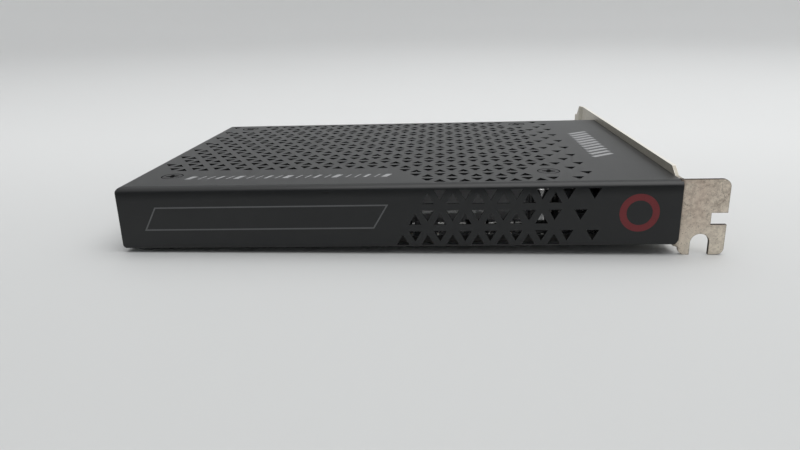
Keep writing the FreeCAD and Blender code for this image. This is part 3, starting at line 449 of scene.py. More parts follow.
# the low and high corner of each separate solid in a node, in card millimetres
def solids(node):
    shape = bmesh.new()
    shape.from_mesh(frame["nodes"][node].data)
    bmesh.ops.remove_doubles(shape, verts=shape.verts, dist=1e-6)
    left = set(shape.verts)
    found = []
    while left:
        joined = [left.pop()]
        for vert in joined:
            for edge in vert.link_edges:
                other = edge.other_vert(vert)
                if other in left:
                    left.remove(other)
                    joined.append(other)
        places = [toCard @ vert.co for vert in joined]
        low = [round(min(place[axis] for place in places), 3) for axis in range(3)]
        high = [round(max(place[axis] for place in places), 3) for axis in range(3)]
        found.append((Vector(low), Vector(high)))
    shape.free()
    return sorted(found, key=lambda corners: tuple(corners[0]))


def middle(low, high):
    return (low.x + high.x) / 2, (low.y + high.y) / 2


def circle(x, y, z, radius, steps):
    turns = [2 * math.pi * step / steps for step in range(steps)]
    return [(x + radius * math.cos(turn), y + radius * math.sin(turn), z) for turn in turns]


# a hexagon's outline with as many points as a circle has
def hexagon(x, y, z, radius, steps):
    half = math.radians(30)
    points = []
    for step in range(steps):
        turn = 2 * math.pi * step / steps
        reach = radius * math.cos(half) / math.cos(turn % (2 * half) - half)
        points.append((x + reach * math.cos(turn), y + reach * math.sin(turn), z))
    return points


# a bar with half-round ends, as long as the box is along x
def stadium(low, high, z, inset, steps=12):
    radius = (high.y - low.y) / 2 - inset
    y = (low.y + high.y) / 2
    points = []
    for end, start in ((high.x - inset - radius, -90), (low.x + inset + radius, 90)):
        for step in range(steps + 1):
            turn = math.radians(start + 180 * step / steps)
            points.append((end + radius * math.cos(turn), y + radius * math.sin(turn), z))
    return points


# a rectangle with cut corners, drawn in by an inset
def cutRectangle(low, high, z, inset, corner):
    left, front, right, back = low[0] + inset, low[1] + inset, high[0] - inset, high[1] - inset
    return [(left + corner, front, z), (right - corner, front, z), (right, front + corner, z),
            (right, back - corner, z), (right - corner, back, z), (left + corner, back, z),
            (left, back - corner, z), (left, front + corner, z)]


# a table of pairs, moved to a place
def moved(pairs, first, second=0):
    return [(first + one, second + other) for one, other in pairs]


# each point of a closed outline, with the next
def around(points):
    return zip(points, points[1:] + points[:1])


# a straight printed line, as its four corners
def stroke(start, end, width):
    along = (Vector(end) - Vector(start)).normalized()
    aside = Vector((-along.y, along.x)) * width / 2
    return [Vector(start) - aside, Vector(end) - aside, Vector(end) + aside, Vector(start) + aside]


# an object in the scene
def added(name, data):
    made = bpy.data.objects.new(name, data)
    bpy.context.scene.collection.objects.link(made)
    return made


# faces between two rings of a mesh
def skin(shape, low, high):
    ends = zip(low, low[1:] + low[:1], high[1:] + high[:1], high)
    return [shape.faces.new(corners) for corners in ends]


sharpTurn = 0.55  # an edge that turns further than this, in radians, is shaded sharp


# one piece: its shapes, each in a finish, and what it stands for
class Piece:
    def __init__(self, name, slot, *nodes):
        self.name = name
        self.slot = slot
        self.nodes = nodes
        self.shape = bmesh.new()
        self.worn = []
        self.at = Matrix()

    # rings with the same number of points, joined side by side
    def loft(self, finish, rings, closed=False):
        if finish not in self.worn:
            self.worn.append(finish)
        rows = [[self.shape.verts.new(self.at @ Vector(point)) for point in ring] for ring in rings]
        pairs = list(zip(rows, rows[1:])) + ([(rows[-1], rows[0])] if closed else [])
        faces = [] if closed else [self.shape.faces.new(rows[0]), self.shape.faces.new(rows[-1])]
        for low, high in pairs:
            faces += skin(self.shape, low, high)
        for face in faces:
            face.material_index = self.worn.index(finish)

    # a chamfered block between two opposite corners
    def block(self, finish, one, other, chamfer, corner=None):
        low, high = ([pick(pair) for pair in zip(one, other)] for pick in (min, max))
        corner = chamfer if corner is None else corner
        levels = ((low[2], chamfer), (low[2] + chamfer, 0), (high[2] - chamfer, 0), (high[2], chamfer))
        self.loft(finish, [cutRectangle(low, high, z, inset, corner) for z, inset in levels])

    # a profile of radii and heights, turned about an upright axis
    def turned(self, finish, x, y, profile, steps, closed=False):
        self.loft(finish, [circle(x, y, z, radius, steps) for radius, z in profile], closed)

    # a flat strip that follows a path, level across the path
    def strip(self, finish, path, width, gauge, aside=(0, 1, 0)):
        aside = Vector(aside)
        points = [Vector(point) for point in path]
        rings = []
        for index, point in enumerate(points):
            along = points[min(index + 1, len(points) - 1)] - points[max(index - 1, 0)]
            up = along.cross(aside).normalized() * gauge / 2
            across = aside * width / 2
            rings.append([point - across - up, point + across - up, point + across + up, point - across + up])
        self.loft(finish, rings)

    # a print: outlines in the plane of a face, with the ink's thickness
    def ink(self, finish, outlines, toFace, thickness=thinInk["thickness"]):
        for outline in outlines:
            self.loft(finish, [[toFace(u, v, lift) for u, v in outline] for lift in (0, thickness)])

    def finish(self):
        self.shape.transform(toRow)
        bmesh.ops.recalc_face_normals(self.shape, faces=self.shape.faces)
        mesh = bpy.data.meshes.new(self.name)
        self.shape.to_mesh(mesh)
        self.shape.free()
        for name in self.worn:
            mesh.materials.append(finishes[name])
        mesh.shade_smooth()
        mesh.set_sharp_from_angle(angle=sharpTurn)
        made = added(self.name, mesh)
        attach(made, "root")
        if self.nodes:
            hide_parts(*self.nodes)


# a piece built over each solid of a node, which it stands for unless the node is kept
def overNode(name, slot, node, build, *options, kept=False):
    made = Piece(name, slot, *([] if kept else [node]))
    for low, high in solids(node):
        build(made, low, high, *options)
    made.finish()


boardLow, boardHigh = solids("printed_circuit_board")[0]
boardTop, boardUnder = boardHigh.z, boardLow.z
coverTop = 18.42
print("board from", round(boardUnder, 2), "to", round(boardTop, 2), "mm")

# countersunk screws with a cross recess, each in its countersink: the recess and its lip are shares of the cross
# and the head is radii, each with how far down it lies; twists are in degrees
screw = {"reach": 1.6, "tip": 0.27, "root": 0.6, "twist": 17, "twistStep": 31, "shank": 1.22, "core": 0.98,
         "pitch": 0.5, "thread": 1.25, "point": 0.784, "recess": ((0.1, 0.85), (0.5, 0.68), (0.93, 0.1), (1, 0.012)),
         "lip": ((1, 0.03), (1.04, 0)), "head": ((2.44, 0), (2.56, 0.1), (1.22, 1.15))}


# how far the recess reaches at an angle from the middle of a wing
def recessReach(turn):
    if turn <= math.atan2(screw["tip"], screw["reach"]):
        return screw["reach"] / math.cos(turn)
    startX, startY = screw["reach"], screw["tip"]
    wayX, wayY = screw["root"] - startX, screw["root"] - startY
    return (startX * wayY - startY * wayX) / (math.cos(turn) * wayY - math.sin(turn) * wayX)


def coverScrews():
    made = Piece("coverScrewSet", "black_steel", "cover_screws")
    tipTurn = math.degrees(math.atan2(screw["tip"], screw["reach"]))
    offsets = [-45, -36, -27, -18, -tipTurn, -tipTurn / 2, 0, tipTurn / 2, tipTurn, 18, 27, 36]
    turns = [math.radians(quarter * 90 + offset) for quarter in range(4) for offset in offsets]
    cross = [recessReach(math.radians(abs(offset))) for offset in offsets] * 4
    disc = [1] * len(turns)
    for number, (low, high) in enumerate(solids("cover_screws")):
        x, y = middle(low, high)
        twist = math.radians(screw["twist"] + screw["twistStep"] * number)

        def ring(outline, scale, z):
            return [(x + reach * scale * math.cos(turn + twist), y + reach * scale * math.sin(turn + twist), z)
                    for turn, reach in zip(turns, outline)]

        made.loft("recess", [ring(cross, share, high.z - down) for share, down in screw["recess"]])
        rings = [ring(cross, share, high.z - down) for share, down in screw["lip"]]
        rings += [ring(disc, radius, high.z - down) for radius, down in screw["head"]]
        z = high.z - screw["thread"]
        while z > low.z + screw["pitch"]:
            rings += [ring(disc, screw["shank"], z), ring(disc, screw["core"], z - screw["pitch"] / 2)]
            z -= screw["pitch"]
        made.loft("blackSteel", rings + [ring(disc, screw["point"], low.z)])
    made.finish()


# fasteners with both round and six-sided rings: an outline, its radius and its height
def mixedRings(x, y, rows, steps=48):
    return [outline(x, y, z, radius, steps) for outline, radius, z in rows]


# chamfered hexagonal standoffs, bored through
standoff = {"face": 0.86, "chamfer": 0.35, "bore": 1.35, "upperLip": 0.25, "lowerLip": 0.2, "lipDepth": 0.25}


def hexStandoff(made, low, high):
    radius = (high.x - low.x) / 2
    face, bore = radius * standoff["face"], standoff["bore"]
    rows = [(circle, face, low.z), (hexagon, radius, low.z + standoff["chamfer"]),
            (hexagon, radius, high.z - standoff["chamfer"]), (circle, face, high.z),
            (circle, bore + standoff["upperLip"], high.z), (circle, bore, high.z - standoff["lipDepth"]),
            (circle, bore, low.z + standoff["lipDepth"]), (circle, bore + standoff["lowerLip"], low.z)]
    made.loft("nickel", mixedRings(*middle(low, high), rows), closed=True)


# hexagon-head screws with a washer face, through the board into the bracket's tabs: the point is radii, and the
# washer and the dish are shares of the head's radius, each with a height
hexScrew = {"point": ((0.85, 0), (1.2, 0.3)), "thread": (1.22, 1.02, 0.44), "threadEnds": (0.4, 0.3), "neck": 1.2,
            "washer": ((0.97, 0), (0.97, 0.2)), "sides": (0.22, 0.3), "dish": ((0.8, 0), (0.45, 0), (0.4, 0.25))}


def washerScrew(made, low, high):
    crest, valley, pitch = hexScrew["thread"]
    head = (high.x - low.x) / 2
    rows = [(circle, radius, low.z + up) for radius, up in hexScrew["point"]]
    z = low.z + hexScrew["threadEnds"][0]
    while z < boardTop - hexScrew["threadEnds"][1]:
        rows += [(circle, crest, z), (circle, valley, z + pitch / 2)]
        z += pitch
    rows += [(circle, hexScrew["neck"], boardTop)]
    rows += [(circle, head * share, boardTop + up) for share, up in hexScrew["washer"]]
    rows += [(hexagon, head, boardTop + hexScrew["sides"][0]), (hexagon, head, high.z - hexScrew["sides"][1])]
    rows += [(circle, head * share, high.z - down) for share, down in hexScrew["dish"]]
    made.loft("steel", mixedRings(*middle(low, high), rows))


coverScrews()
overNode("hexStandoffSet", "nickel_plate", "cover_standoffs", hexStandoff)
overNode("hexScrewSet", "steel", "bracket_screws", washerScrew)
print("fasteners made")

# spring fingers that grip a plug, bowed in from the socket's ceiling and floor: each bend is a distance from the
# mouth and one from the wall
fingers = {"wall": 0.35, "width": 1.9, "gauge": 0.16, "upper": 3.5, "lower": 3.1111,
           "bend": ((0.5, 0.05), (1.4, 0.45), (2.4, 0.3825), (5.2, 0.03))}


def socketFingers(made, low, high):
    for side in (-1, 1):
        for aside, wall, inward in ((fingers["upper"], high.z - fingers["wall"], -1),
                                    (fingers["lower"], low.z + fingers["wall"], 1)):
            y = (low.y + high.y) / 2 + side * aside
            path = [(high.x - back, y, wall + inward * bow) for back, bow in fingers["bend"]]
            made.strip("nickel", path, fingers["width"], fingers["gauge"])


# audio jacks: a chamfered lead-in at the mouth, and a contact ring inside, as radii and depths behind the mouth
jack = {"mouth": [(1.8, -5.2), (1.8, -0.45), (2.15, 0), (2.3, 0.06), (2.45, 0), (2.45, -0.12), (2.05, -0.3),
                  (1.86, -0.6), (1.86, -5.2)],
        "contact": [(1.55, -8.6), (1.2, -8.2), (1.2, -7.7), (1.55, -7.3), (1.78, -7.3), (1.78, -8.6)]}


def jackMouth(made, low, high):
    mouth = (high.x, (low.y + high.y) / 2, (low.z + high.z) / 2)
    made.at = Matrix.Translation(mouth) @ Matrix.Rotation(math.pi / 2, 4, "Y")
    made.turned("nickel", 0, 0, jack["mouth"], 48, closed=True)
    made.turned("gold", 0, 0, jack["contact"], 32, closed=True)


overNode("videoInputFingers", "nickel_plate", "hdmi_input_shell", socketFingers, kept=True)
overNode("videoOutputFingers", "nickel_plate", "hdmi_output_shell", socketFingers, kept=True)
overNode("lineInMouth", "nickel_plate", "line_in_jack", jackMouth, kept=True)
overNode("lineOutMouth", "nickel_plate", "line_out_jack", jackMouth, kept=True)
print("sockets detailed")

# a moulded body with drawn-in sides and a round dimple at its first pin
package = {"draft": 0.12, "corner": 0.12, "shoulder": 0.05, "dimpleIn": 2.2,
           "dimple": ((1, -0.02), (1, 0.012), (0.8, 0.004))}


def mouldedBody(made, low, high, dimple):
    draft = package["draft"]
    levels = ((low[2], draft * 0.6), ((low[2] + high[2]) / 2, 0), (high[2] - package["shoulder"], draft * 0.7),
              (high[2], draft))
    made.loft("epoxy", [cutRectangle(low, high, z, inset, package["corner"]) for z, inset in levels])
    inward = dimple * package["dimpleIn"]
    profile = [(dimple * share, high[2] + lift) for share, lift in package["dimple"]]
    made.turned("resistor", low[0] + inward, high[1] - inward, profile, 24)


# a two-ended chip part with tinned caps and solder feet, along the card or across it
chipEnd = {"cap": 0.24, "slim": 0.02, "lift": 0.01, "capEdge": 0.04, "footOut": 0.16, "footIn": 0.05, "footSlim": 0.03,
           "footRise": 0.35}


def chipPart(made, x, y, bottom, size, body, along):
    length, width, height = size
    made.at = Matrix.Translation((x, y, bottom)) @ Matrix.Rotation(0 if along else math.pi / 2, 4, "Z")
    inner, outer, slim = length / 2 - length * chipEnd["cap"], length / 2, chipEnd["slim"]
    made.block(body, (-inner, -width / 2 + slim, chipEnd["lift"]), (inner, width / 2 - slim, height - slim), slim)
    foot = width / 2 - chipEnd["footSlim"]
    for side in (-1, 1):
        made.block("tin", (side * inner, -width / 2, 0), (side * outer, width / 2, height), chipEnd["capEdge"])
        made.block("tin", (side * (outer - chipEnd["footIn"]), -foot, 0),
                   (side * (outer + chipEnd["footOut"]), foot, height * chipEnd["footRise"]), chipEnd["capEdge"])
    made.at = Matrix()


# solder balls under a chip: their radii, and the heights of those radii
ball = {"radii": (0.12, 0.22, 0.22, 0.14), "low": (0, 0.08, 0.15, 0.22), "tall": (0, 0.1, 0.16, 0.25)}


def solderBall(made, x, y, bottom, levels):
    made.turned("tin", x, y, [(radius, bottom + level) for radius, level in zip(ball["radii"], levels)], 10)


# the main chip: a moulded lid on a wider carrier, balls along its rim and two rows of chip parts beside the lid
mainChip = {"deck": 0.6, "edge": (0.03, 0.3), "dimple": 0.5, "pitch": 1, "row": 9.3, "rowStep": 1.9,
            "rowEach": 4, "rowPart": (0.9, 0.45, 0.3)}


def processor(made, low, high):
    lidLow, lidHigh = solids("thermal_pad")[0]
    x, y = middle(low, high)
    deck = low.z + mainChip["deck"]
    made.block("substrate", (low.x, low.y, low.z + ball["low"][-1]), (high.x, high.y, deck), *mainChip["edge"])
    mouldedBody(made, (lidLow.x, lidLow.y, deck), (lidHigh.x, lidHigh.y, high.z), mainChip["dimple"])
    count = int((high.x - low.x - 1) / mainChip["pitch"])
    edge = count / 2 * mainChip["pitch"]
    for step in range(count + 1):
        away = (step - count / 2) * mainChip["pitch"]
        for ballX, ballY in ((x + away, y - edge), (x + away, y + edge), (x - edge, y + away), (x + edge, y + away)):
            solderBall(made, ballX, ballY, low.z, ball["low"])
    for side in (-1, 1):
        for step in range(-mainChip["rowEach"], mainChip["rowEach"] + 1):
            chipPart(made, x + step * mainChip["rowStep"], y + side * mainChip["row"], deck, mainChip["rowPart"],
                     "ceramic", True)


memoryChip = {"balls": 12, "start": 1, "inset": 0.5, "dimple": 0.32}


def memoryPackage(made, low, high):
    mouldedBody(made, (low.x, low.y, low.z + ball["tall"][-1]), high, memoryChip["dimple"])
    for step in range(memoryChip["balls"]):
        for x in (low.x + memoryChip["inset"], high.x - memoryChip["inset"]):
            solderBall(made, x, low.y + memoryChip["start"] + step, low.z, ball["tall"])


# leadless packages: side pads round a moulded body
pads = {"width": 0.24, "length": 0.45, "height": 0.2, "pitch": 0.5, "bare": 1.2, "slim": 0.05, "lift": 0.03,
        "edge": 0.02, "dimple": 0.28}


def leadless(made, low, high):
    slim = pads["slim"]
    mouldedBody(made, (low.x + slim, low.y + slim, low.z + pads["lift"]), (high.x - slim, high.y - slim, high.z),
                pads["dimple"])
    x, y = middle(low, high)
    outer = (high.x - low.x) / 2
    inner, half, top = outer - pads["length"], pads["width"] / 2, low.z + pads["height"]
    count = int((high.x - low.x - pads["bare"]) / pads["pitch"]) + 1
    for step in range(count):
        away = (step - (count - 1) / 2) * pads["pitch"]
        for side in (-1, 1):
            edge, inside = side * outer, side * inner
            made.block("tin", (x + away - half, y + edge, low.z), (x + away + half, y + inside, top), pads["edge"])
            made.block("tin", (x + edge, y + away - half, low.z), (x + inside, y + away + half, top), pads["edge"])


overNode("processorPackage", "chip_epoxy", "main_processor", processor)
overNode("memoryPackages", "chip_epoxy", "memory_chips", memoryPackage)
overNode("receiverPackage", "chip_epoxy", "hdmi_receiver_chip", leadless)
overNode("transmitterPackage", "chip_epoxy", "hdmi_transmitter_chip", leadless)
overNode("codecPackage", "chip_epoxy", "audio_codec_chip", leadless)
overNode("flashPackage", "chip_epoxy", "flash_chip", leadless)
print("chips made")

# crystals in drawn cans with a welded flange: heights from the base and from the top, each with its inset
crystal = {"base": 0.4, "edge": (0.04, 0.5), "flange": ((0, 0.15), (0.35, 0.15), (0.4, 0.55)),
           "shoulder": ((-0.45, 0.6), (-0.15, 0.72), (0, 1.05))}


def crystalCan(made, low, high):
    base = low.z + crystal["base"]
    made.block("black", low, (high.x, high.y, base), *crystal["edge"])
    levels = moved(crystal["flange"], base) + moved(crystal["shoulder"], high.z)
    made.loft("nickel", [stadium(low, high, z, inset) for z, inset in levels])


# pressed inductors with a flat lead bent up each end: distances in from the end and up from the board
inductor = {"lift": 0.3, "edge": (0.35, 0.9), "leadWidth": 3.2, "leadGauge": 0.18,
            "lead": ((1.6, 0.1), (0.2, 0.1), (0, 0.35), (0, 1.4))}


def leadedInductor(made, low, high):
    made.block("ferrite", (low.x, low.y, low.z + inductor["lift"]), high, *inductor["edge"])
    x, y = middle(low, high)
    for side in (-1, 1):
        path = [(x + side * ((high.x - low.x) / 2 - inward), y, low.z + up) for inward, up in inductor["lead"]]
        made.strip("tin", path, inductor["leadWidth"], inductor["leadGauge"])


# aluminium cans on moulded seats, with a rolled groove and a rounded shoulder as insets and heights, three scores
# and a dark segment; an edge is a chamfer and a cut corner
can = {"seat": 0.7, "slim": 0.15, "edge": (0.08, 0.9), "footAway": 3.2, "foot": (0.35, 0.5, 0.2, 0.04), "scores": 3,
       "scoreReach": 0.6, "scoreDrop": 0.08, "score": (0.05, 0.04, 0.01),
       "groove": ((-0.25, 0), (0, 0.25), (0, 0.8), (-0.28, 1.1), (0, 1.4)),
       "shoulder": ((0, -0.55), (-0.16, -0.16), (-0.55, 0), (-0.8, -0.06)),
       "segment": (130, 230, 10), "segmentInset": 0.6, "segmentDrop": 0.05, "segmentInk": 0.03}


def scoredCan(made, low, high):
    x, y = middle(low, high)
    seat = low.z + can["seat"]
    radius = (high.x - low.x) / 2 - can["slim"]
    made.block("black", low, (high.x, high.y, seat), *can["edge"])
    made.turned("can", x, y, moved(can["groove"], radius, seat) + moved(can["shoulder"], radius, high.z), 48)
    score = radius * can["scoreReach"]
    half, thick, edge = can["score"]
    for turn in range(can["scores"]):
        made.at = Matrix.Translation((x, y, high.z - can["scoreDrop"]))
        made.at @= Matrix.Rotation(math.pi * turn / can["scores"], 4, "Z")
        made.block("blackSteel", (-score, -half, 0), (score, half, thick), edge)
    made.at = Matrix()
    start, end, step = can["segment"]
    arc = [math.radians(turn) for turn in range(start, end + 1, step)]
    reach = radius - can["segmentInset"]
    outline = [(x + reach * math.cos(turn), y + reach * math.sin(turn)) for turn in arc]
    made.ink("black", [outline], lambda u, v, lift: (u, v, high.z - can["segmentDrop"] + lift), can["segmentInk"])
    wide, deep, thick, edge = can["foot"]
    for side in (-1, 1):
        foot = y + side * can["footAway"]
        made.block("tin", (x - wide, foot - deep, low.z), (x + wide, foot + deep, low.z + thick), edge)


# regulators with bent leads and a soldered tab: distances out from the body and up from the board
regulator = {"inset": 0.8, "lift": 0.05, "dimple": 0.3, "leads": (-2.3, 0, 2.3), "leadWidth": 0.7, "tabWidth": 3,
             "gauge": 0.26, "bend": ((-0.1, 0.75), (0.25, 0.75), (0.45, 0.15), (0.8, 0.15))}


def leadedRegulator(made, low, high):
    x = (low.x + high.x) / 2
    front, back = low.y + regulator["inset"], high.y - regulator["inset"]
    mouldedBody(made, (low.x, front, low.z + regulator["lift"]), (high.x, back, high.z), regulator["dimple"])
    for offset in regulator["leads"]:
        path = [(x + offset, front - out, low.z + up) for out, up in regulator["bend"]]
        made.strip("tin", path, regulator["leadWidth"], regulator["gauge"], (1, 0, 0))
    path = [(x, back + out, low.z + up) for out, up in regulator["bend"]]
    made.strip("tin", path, regulator["tabWidth"], regulator["gauge"], (1, 0, 0))


def twoEnded(made, low, high, body):
    across, deep, height = high - low
    chipPart(made, *middle(low, high), low.z, (max(across, deep), min(across, deep), height), body, across > deep)


overNode("crystalCans", "nickel_plate", "crystals", crystalCan)
overNode("inductorBlocks", "ferrite", "power_inductors", leadedInductor)
overNode("capacitorCans", "aluminium", "can_capacitors", scoredCan)
overNode("regulatorPackages", "chip_epoxy", "voltage_regulators", leadedRegulator)
overNode("ceramicChips", "ceramic", "ceramic_capacitors", twoEnded, "ceramic")
overNode("resistorChips", "chip_epoxy", "chip_resistors", twoEnded, "resistor")
overNode("solderSideChips", "ceramic", "solder_side_capacitors", twoEnded, "ceramic")
print("board parts made")

# small seeded parts on both faces of the board, clear of everything else: two kinds, and four layouts whose areas
# are left, front, right and back
kinds = {"fine": {"size": (1, 0.5, 0.36), "gap": 0.6, "bodies": ("ceramic", "resistor")},
         "tall": {"size": (3.2, 2.5, 2.45), "gap": -0.1, "bodies": ("ferrite", "resistor")}}
layouts = {
    "above": ("fine", 56, [(104, 18, 119, 34), (105, 40, 119, 52), (104, 56, 119, 70), (40, 44, 62, 60),
                           (16, 62, 42, 86), (92, 60, 100, 84)]),
    "tallFront": ("tall", 14, [(64, 4.4, 99, 5), (108, 4.4, 118, 5)]),
    "front": ("fine", 34, [(62, 1.9, 121, 3), (62, 2.4, 98, 5.2)]),
    "below": ("fine", 60, [(70, 12, 94, 35), (42, 8, 54, 40), (104, 18, 118, 32), (104, 40, 118, 52),
                           (70, 70, 88, 84), (18, 60, 40, 84)]),
}
scatter = {"seed": 11, "grid": 0.8, "tries": 20, "lengthwise": 0.5, "firstBody": 0.6}
draw = random.Random(scatter["seed"])
ports = ["hdmi_input_shell", "hdmi_output_shell", "line_in_jack", "line_out_jack"]
outlined = ["memory_chips", "hdmi_receiver_chip", "hdmi_transmitter_chip", "audio_codec_chip", "flash_chip",
            "crystals", "power_inductors", "can_capacitors", "voltage_regulators"]
mounted = ports + outlined + ["cover_standoffs", "bracket_screws", "main_processor", "ceramic_capacitors",
                              "chip_resistors"]


def keptClear(names):
    return [(low.x, low.y, high.x, high.y) for name in names for low, high in solids(name)]


def smallParts(name, bottom, layout, boxes):
    made = Piece(name, "ceramic")
    kindName, count, areas = layouts[layout]
    kind = kinds[kindName]
    half = kind["size"][0] / 2
    reach = half + kind["gap"]
    placed = 0
    for attempt in range(count * scatter["tries"]):
        if placed == count:
            break
        left, front, right, back = areas[draw.randrange(len(areas))]
        x = round(draw.uniform(left, right) / scatter["grid"]) * scatter["grid"]
        y = round(draw.uniform(front, back) / scatter["grid"]) * scatter["grid"]
        along = draw.random() < scatter["lengthwise"]
        body = kind["bodies"][0 if draw.random() < scatter["firstBody"] else 1]
        if any(low - reach < x < high + reach and near - reach < y < far + reach for low, near, high, far in boxes):
            continue
        boxes.append((x - half, y - half, x + half, y + half))
        chipPart(made, x, y, bottom, kind["size"], body, along)
        placed += 1
    made.finish()


smallParts("smallPartsAbove", boardTop, "above", keptClear(mounted))
frontBoxes = keptClear(mounted)
smallParts("tallPartsFront", boardTop, "tallFront", frontBoxes)
smallParts("smallPartsFront", boardTop, "front", frontBoxes)
smallParts("smallPartsBelow", boardUnder - kinds["fine"]["size"][2], "below",
           keptClear(["cover_standoffs", "bracket_screws", "solder_side_capacitors"]))

# solder joints with their pins, and the standoffs' rings of solder and stud ends: radii and depths under the board,
# a joint's as shares of its own radius
joint = {"profile": ((1, -0.02), (1, 0.03), (0.78, 0.16), (0.475, 0.48), (0.38, 0.55), (0.38, 0.66), (0.228, 0.72)),
         "ring": ((1.5, -0.02), (3.1, -0.02), (3.1, 0.05), (2.1, 0.22), (1.75, 0.55), (1.5, 0.7)),
         "stud": ((1.5, 0.02), (1.5, 1.85), (1.3, 2.1), (0.7, 2.1), (0.6, 1.8)), "shell": 1, "jack": 0.85,
         "shellPins": (1.4, 6.6), "shellInset": 0.4,
         "jackPins": ((1.6, 3.3), (6.9, -0.15), (6.9, 6.75), (4.2, 0.9), (10.4, 3.3))}


def under(made, finish, x, y, part, steps, scale=1, closed=False):
    profile = [(radius * scale, boardUnder - depth) for radius, depth in joint[part]]
    made.turned(finish, x, y, profile, steps, closed)


def solderSide():
    made = Piece("solderJoints", "nickel_plate")
    for port in ports[:2]:
        low, high = solids(port)[0]
        for along in joint["shellPins"]:
            for y in (low.y + joint["shellInset"], high.y - joint["shellInset"]):
                under(made, "tin", low.x + along, y, "profile", 20, joint["shell"])
    for port in ports[2:]:
        low, high = solids(port)[0]
        for along, across in joint["jackPins"]:
            under(made, "tin", low.x + along, low.y + across, "profile", 20, joint["jack"])
    for low, high in solids("cover_standoffs"):
        under(made, "tin", *middle(low, high), "ring", 40, closed=True)
        under(made, "nickel", *middle(low, high), "stud", 32)
    made.finish()


# white outlines printed round the parts, kept inside the board's edges
outlineInk = {"line": 0.15, "margin": 0.45}


def boardOutlines():
    made = Piece("boardOutlines", "black_board")
    line, margin = outlineInk["line"], outlineInk["margin"]
    onBoard = lambda u, v, lift: (u, v, boardTop + lift)
    underBoard = lambda u, v, lift: (u, v, boardUnder - lift)
    for nodes, toFace in ((outlined, onBoard), (["solder_side_capacitors"] + ports, underBoard)):
        for low, high in (corners for node in nodes for corners in solids(node)):
            left, right = max(low.x - margin, boardLow.x + line), min(high.x + margin, boardHigh.x - line)
            front, back = max(low.y - margin, boardLow.y + line), min(high.y + margin, boardHigh.y - line)
            corners = [(left, front), (right, front), (right, back), (left, back)]
            made.ink("boardInk", [stroke(start, end, line) for start, end in around(corners)], toFace)
    made.finish()


solderSide()
boardOutlines()
print("solder side made")

onWall = lambda u, v, lift: (u, -lift, v)
onTop = lambda u, v, lift: (u, v, coverTop + lift)

# the slanted frame printed on the front wall: its corners as x and z, and the line's width
panel = {"corners": [(6.2, 7.45), (63.1, 7.5), (66.7, 13.5), (9.4, 13.4)], "line": 0.34}


def panelFrame():
    made = Piece("panelFrame", "black_powder_coat")
    corners = [Vector(corner) for corner in panel["corners"]]
    inner = []
    for last, (corner, following) in zip(corners[-1:] + corners[:-1], around(corners)):
        before, after = (last - corner).normalized(), (following - corner).normalized()
        inner.append(corner + (before + after).normalized() * panel["line"] / math.sin(before.angle(after) / 2))
    sides = [[start, end, innerEnd, innerStart]
             for (start, end), (innerStart, innerEnd) in zip(around(corners), around(inner))]
    made.ink("panelInk", sides, onWall)
    made.finish()


# a plain ring beside the bracket
ringMark = {"middle": (125.5, 10.8), "outer": 4.6, "inner": 3, "steps": 96}


def redRing():
    made = Piece("redRing", "black_powder_coat")
    x, z = ringMark["middle"]
    made.at = Matrix.Translation((x, 0, z)) @ Matrix.Rotation(math.pi / 2, 4, "X")
    inner, outer, thickness = ringMark["inner"], ringMark["outer"], thinInk["thickness"]
    profile = [(inner, 0), (outer, 0), (outer, thickness), (inner, thickness)]
    made.turned("redInk", 0, 0, profile, ringMark["steps"], closed=True)
    made.finish()


# plain slanted dashes along the front edge, thin and broad by turns, and bolder bars beside the bracket
dashes = {"start": 15.2, "end": 67, "step": 2.15, "low": 7.9, "high": 10.9, "slant": 1.2,
          "widths": (1.5, 0.38, 0.38, 0.85, 0.38)}
bars = {"left": 120.4, "right": 126.4, "start": 27.5, "end": 66, "step": 3.5, "width": 1.55, "slant": 4.2}


def topDashes():
    made = Piece("topDashes", "black_powder_coat")
    outlines = []
    x, low, high = dashes["start"], dashes["low"], dashes["high"]
    while x < dashes["end"]:
        half = dashes["widths"][len(outlines) % len(dashes["widths"])] / 2
        far = x + dashes["slant"]
        outlines.append([(x - half, low), (x + half, low), (far + half, high), (far - half, high)])
        x += dashes["step"] + half
    y = bars["start"]
    while y < bars["end"]:
        outlines.append(stroke((bars["left"], y), (bars["right"], y + bars["slant"]), bars["width"]))
        y += bars["step"]
    made.ink("paleInk", outlines, onTop)
    made.finish()


panelFrame()
redRing()
topDashes()
print("prints made")

# the pale table: a floor that turns up into a far wall all round, in metres, tilted to touch the ear's foot and the
# two stud ends under the closed end; its tones change over card millimetres
table = {"tilt": math.atan2(1.65, 127.5), "place": (0, 46, 1.78), "radii": (0.02, 0.1, 0.25, 0.5, 0.9), "flat": 1.25,
         "reach": 2.3, "rise": 1.5, "wallSteps": 12, "sides": 96, "roughness": 0.62, "grain": (0.8, 3), "depth": 0.008,
         "near": (0.59, 0.6, 0.597, 1), "middle": (0.79, 0.8, 0.797, 1), "far": (0.855, 0.865, 0.86, 1),
         "behind": (0.26, 0.26, 0.26, 1), "dim": (0.6, 0.605, 0.605, 1), "bright": (0.96, 0.965, 0.96, 1),
         "nearDepth": (-90, 190), "nearAcross": (-300, 500), "farDepth": (500, 1600), "wallAcross": (-1200, 300),
         "wallUp": (160, 480), "behindDepth": (-1900, -900)}


